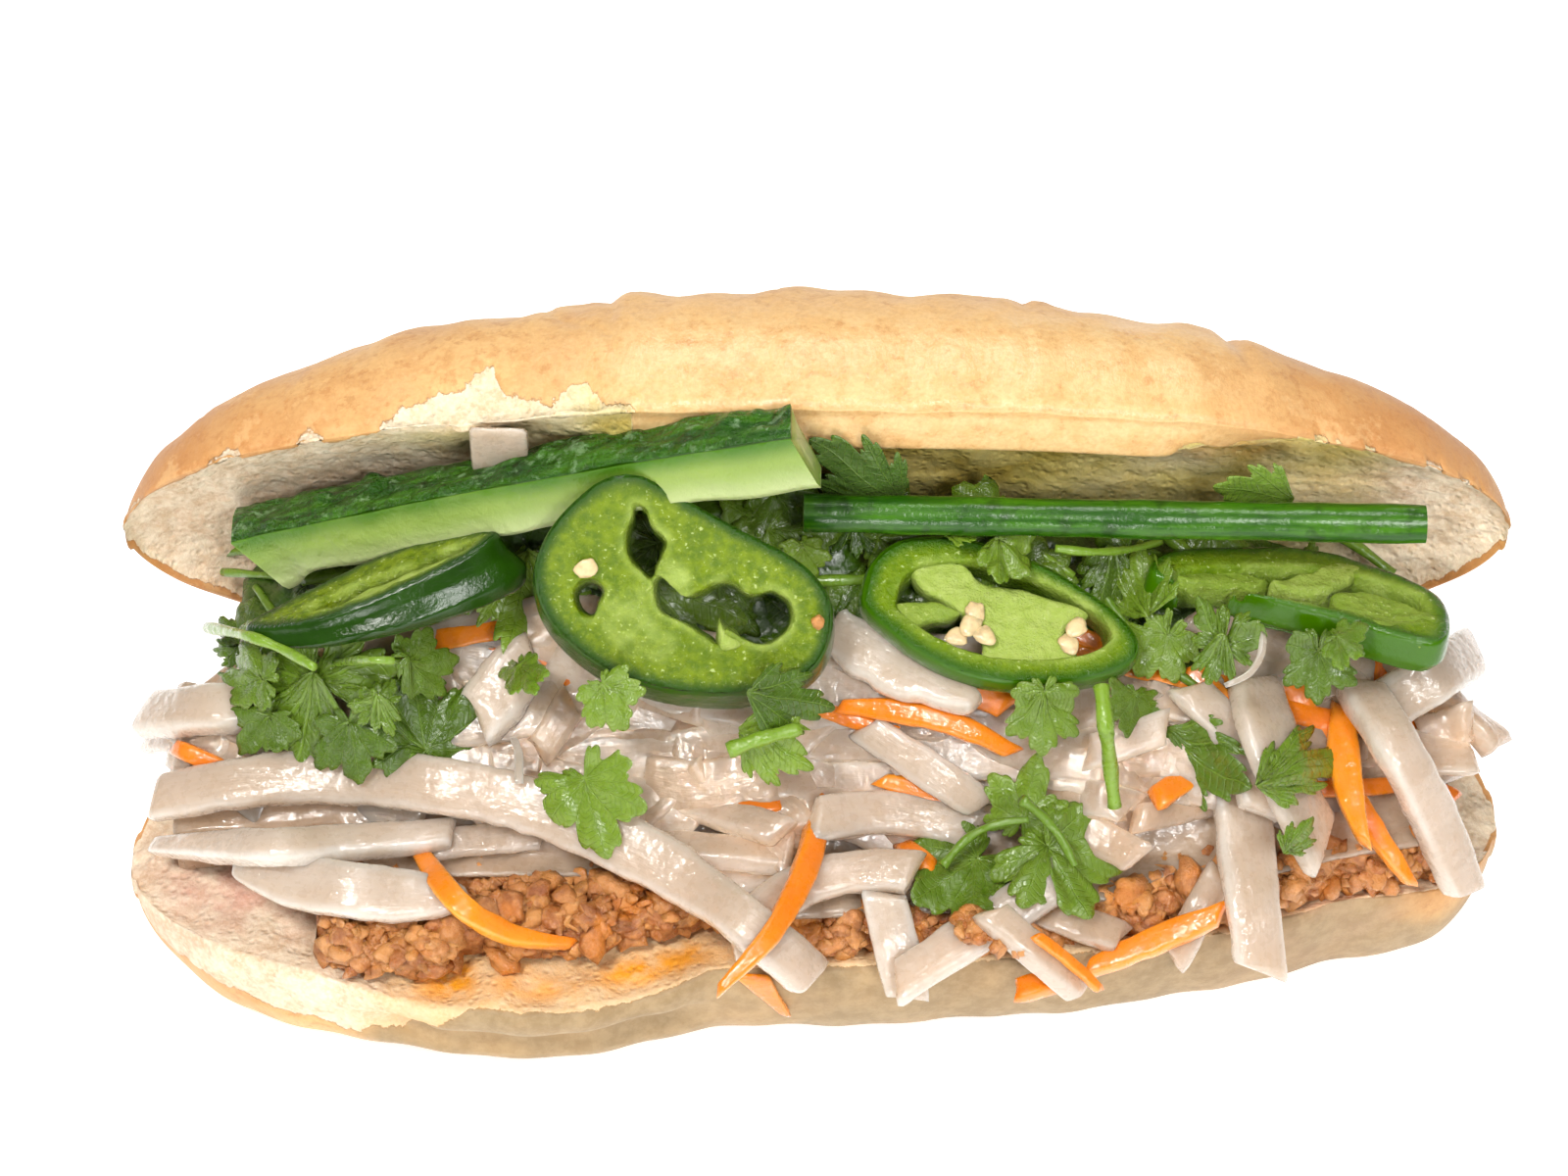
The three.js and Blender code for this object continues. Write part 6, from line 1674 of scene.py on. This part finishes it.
# ------------------------------------------------------------------ cilantro on top
rng = np.random.default_rng(53)
LOOSE_LEAVES = [
    # at, size, direction of the tip, kind, tint (lighter green: partly the leaf's own colour, partly painted light
    # and shade), curl
    ((-75, -14), 15, 20, "trio", 0.45, 1.6), ((-45, -4), 8.5, -100, "blade", 0.75, 1.0),
    ((-60, -21), 10, 100, "fan", 0.2, 0.8), ((-59, -12), 6, 12, "fan", 0.4, 0.6),
    ((-31, -17.5), 5.5, -60, "fan", 0.85, 1.4), ((-4, -17.6), 6.5, -8, "blade", 0.15, 0.8),
    ((-6, -25), 6, -25, "blade", 0.85, 1.2), ((-34, -34), 9.5, -75, "fan", 0.8, 0.8),
    ((34, -21), 6.5, -90, "fan", 0.65, 1.0), ((51, -10), 6.5, -130, "fan", 0.7, 0.8),
    ((62, -9), 7, 10, "trio", 0.4, 1.2), ((76, -13), 6, -90, "fan", 0.35, 1.0),
    ((59, -28), 7.5, -35, "blade", 0.3, 0.8), ((73, -28), 7, 20, "blade", 0.65, 1.2),
    ((6, 17.5), 8.4, 145, "blade", 0.0, 1.6), ((21, -44.5), 9.6, 215, "fan", 0.4, 0.9),
    ((31.5, -32.5), 7, 75, "fan", 0.7, 1.0), ((37, -43.5), 10.5, -60, "fan", 0.6, 1.2),
]
for i, (at, size, direction, kind, tint, curl) in enumerate(LOOSE_LEAVES):
    one = Heap()
    name = "cilantro_%d" % (i + 1)
    add_leaf(one, at, size, direction, kind, name, rng, tint=tint, curl=curl, face=name == "cilantro_15",
             spokes=110, rings=12)
    one.piece(name + "_leaf", LEAF, "cilantro", [name])
trim = Heap()
TRIM_LEAVES = [
    ((-1.6, 3.5), 4.2, -70, "fan", 0.8, 1.0), ((29, 4.5), 5.0, -40, "fan", 0.75, 2.0),
    ((22, 8.5), 3.0, 20, "blade", 0.9, 1.0), ((47.5, -19), 4.8, -100, "fan", 0.45, 1.0),
    ((72.6, -38), 3.4, 50, "blade", 0.6, 1.0), ((-84, -22), 6, 230, "fan", 0.35, 1.4),
    ((-70, -24), 6.5, -80, "fan", 0.25, 1.6), ((-86, -14), 5.5, 170, "fan", 0.55, 1.4),
    ((-66, -18), 5, 60, "trio", 0.5, 1.4), ((49.5, 0), 6, 95, "blade", 0.6, 0.8),
    ((-44, -14), 4, -60, "fan", 0.8, 1.0), ((80, -9), 4, -30, "fan", 0.5, 1.0),
    ((44.5, -34), 2.6, -30, "fan", 0.9, 1.0),
]
for at, size, direction, kind, tint, curl in TRIM_LEAVES:
    add_leaf(trim, at, size, direction, kind, "trim", rng, tint=tint, curl=curl, spokes=64, rings=8)
add_leaf(trim, (66, 14.5), 6.0, 170, "blade", "trim", rng, tint=0.85, curl=0.6, face=True)
for start, end, bow, width, tint in [((-92, -6), (-76, -12), 1, 1.8, 0.9), ((-76, -12), (-64, -11), 0.5, 1.5, 0.8),
                                     ((36, 6), (52, 7), -1, 1.4, 0.8)]:
    lay_stem(trim, start, end, bow, width, "trim", rng, tint)
# One lies on a leaf.
add_stem(trim, along_sight([(-13.5, -24.6), (-8, -22.6), (-2.5, -21.3)], [55.2, 56.4, 56.4]), 2.5, rng, 0.9)
trim.piece("cilantro_trim", LEAF, "cilantro")
bits = Heap()
# One lies over a leaf at the left; given as (spine, across, up, half width, length).
spine = along_sight([(-46, -22.5), (-45.2, -24.8), (-45.1, -27.2), (-45, -29.6)], [44.6, 44.0, 43.8, 43.6])
laid = spine, np.tile([1.0, 0, 0], (4, 1)), np.tile(TO_EYE, (4, 1)), np.full(4, 0.65), 8.0
points, faces, values = strip_shape(laid, 1.0, rng, slant=0)
bits.add(points, faces, **values)
lay_piece(bits, (67.5, -6.7), (61.6, -14.8), 2.0, 1.1, 0.9, 0.4, "bits", 0, rng, 3, False, slant=0)
bits.piece("daikon_shreds", DAIKON, "daikon")
bits = Heap()
# One hangs down the wall of the roll from under the long daikon strip.
share = np.linspace(0, 1, 5)[:, None]
spine = [along_sight_to_depth(at, float(bottom_y(at[0], -1.0)) - 0.3)
         for at in lerp(np.array([-10, -58.5]), np.array([-4.5, -64.5]), share)]
hanging = (np.array(spine), np.tile([1.0, 0, 0], (5, 1)), np.tile([0, -1.0, 0], (5, 1)),
           2.6 * (1 - 0.8 * share[:, 0]), 9.0)
points, faces, values = strip_shape(hanging, 1.5, rng, slant=0)
bits.add(points, faces, **values)
lay_piece(bits, (33, -52.5), (43, -61), 0.3, 1.8, 1.4, 0.3, "bits", 0, rng, 3, False)
bits.piece("carrot_shreds", CARROT, "carrot")
bits = Heap()
for i in range(60):
    at = np.array([26.7, -52.0]) + np.array([rng.uniform(-5.5, 5.5), 0])
    at[1] += -0.28 * (at[0] - 26.7) + rng.uniform(-1.6, 1.6)
    size = rng.uniform(0.5, 1.5) * np.array([1.5, 1.1, 0.9])
    pts, faces = blob(rng, size, 2)
    bits.add(turned(pts, rng) + on_pile(at, 4.0 + rng.uniform(0, 1.5))[0], faces, tint=rng.random())
for at, size in [((-75, -40.5), 1.1), ((-73.6, -40.9), 0.9), ((-76.3, -40.2), 0.8)]:
    pts, faces = blob(rng, size * np.array([1.0, 1.0, 0.7]), 3, 0.5)
    bits.add(pts + on_pile(at, 0.4)[0], faces, tint=0.9)
pts, faces = blob(rng, (0.9, 0.7, 1.5), 3, 0.5)
bits.add(pts + on_face["jalapeno_2"]((19.6, -5.0), 3.1), faces, tint=0.9)
bits.piece("pork_bits", PORK, "pork")
STEMS = [((19, -42), (32, -35), 2, 1.5, 0.5), ((31, -32), (39, -42), 1, 1.6, 0.5),
         ((43, -15), (45, -33), 0, 2.6, 0.95)]
for i, (start, end, bow, width, tint) in enumerate(STEMS):
    one = Heap()
    name = "cilantro_stem_%d" % (i + 1)
    lay_stem(one, start, end, bow, width, name, rng, tint)
    one.piece(name + "_stalk", LEAF, "cilantro", [name])
seed_heap.piece("pepper_seeds", SEED, "jalapeno")

# ------------------------------------------------------------------ floor, light, camera
floor_mesh = bpy.data.meshes.new("floor")
floor_mesh.from_pydata([(-4, -4, 0), (4, -4, 0), (4, 4, 0), (-4, 4, 0)], [], [(0, 1, 2, 3)])
floor = bpy.data.objects.new("floor", floor_mesh)
bpy.context.scene.collection.objects.link(floor)
floor.location.z = -0.0002
paper = Shader("pale_paper", Roughness=0.9, Specular_IOR_Level=0.1, Emission_Color=(1, 1, 1, 1),
               Emission_Strength=0.5)
paper.set(paper.main, Base_Color=paper.mix(paper.noise(300, 2), grey(0.93), grey(0.9)))
floor_mesh.materials.append(paper.material)

world = bpy.data.worlds.new("studio")
bpy.context.scene.world = world
world.use_nodes = True
world.node_tree.nodes["Background"].inputs["Color"].default_value = (1.0, 0.99, 0.97, 1)
world.node_tree.nodes["Background"].inputs["Strength"].default_value = 0.2


def softbox(name, place, size, watts, colour=(1, 1, 1)):
    """A rectangular lamp at place, in metres, that looks at the sandwich."""
    light = bpy.data.lights.new(name, "AREA")
    light.shape, light.size, light.size_y, light.energy, light.color = "RECTANGLE", size[0], size[1], watts, colour
    made = bpy.data.objects.new(name, light)
    bpy.context.scene.collection.objects.link(made)
    made.location = place
    made.rotation_euler = (Vector((0, 0.01, 0.04)) - made.location).to_track_quat("-Z", "Y").to_euler()


softbox("key_light", (-0.35, -0.4, 1.05), (0.28, 0.22), 10, (1.0, 0.98, 0.95))
softbox("fill_light", (0.28, -0.64, 0.74), (0.26, 0.2), 4.6)
softbox("back_light", (0.0, 0.78, 0.98), (0.5, 0.1), 3.6)
softbox("top_light", (0.15, 0.06, 1.3), (0.3, 0.1), 2.6)
softbox("front_light", (-0.1, -1.15, 0.25), (0.22, 0.08), 2.6)

back = Vector(TO_EYE)
camera_data = bpy.data.cameras.new("camera")
camera = bpy.data.objects.new("camera", camera_data)
bpy.context.scene.collection.objects.link(camera)
camera.location = Vector(SHEET_MIDDLE * MM) + back * FAR * MM
camera.rotation_euler = (-back).to_track_quat("-Z", "Y").to_euler()
camera_data.sensor_width = 36
camera_data.lens = 106.3
bpy.context.scene.camera = camera
bpy.context.scene.view_settings.view_transform = "Standard"
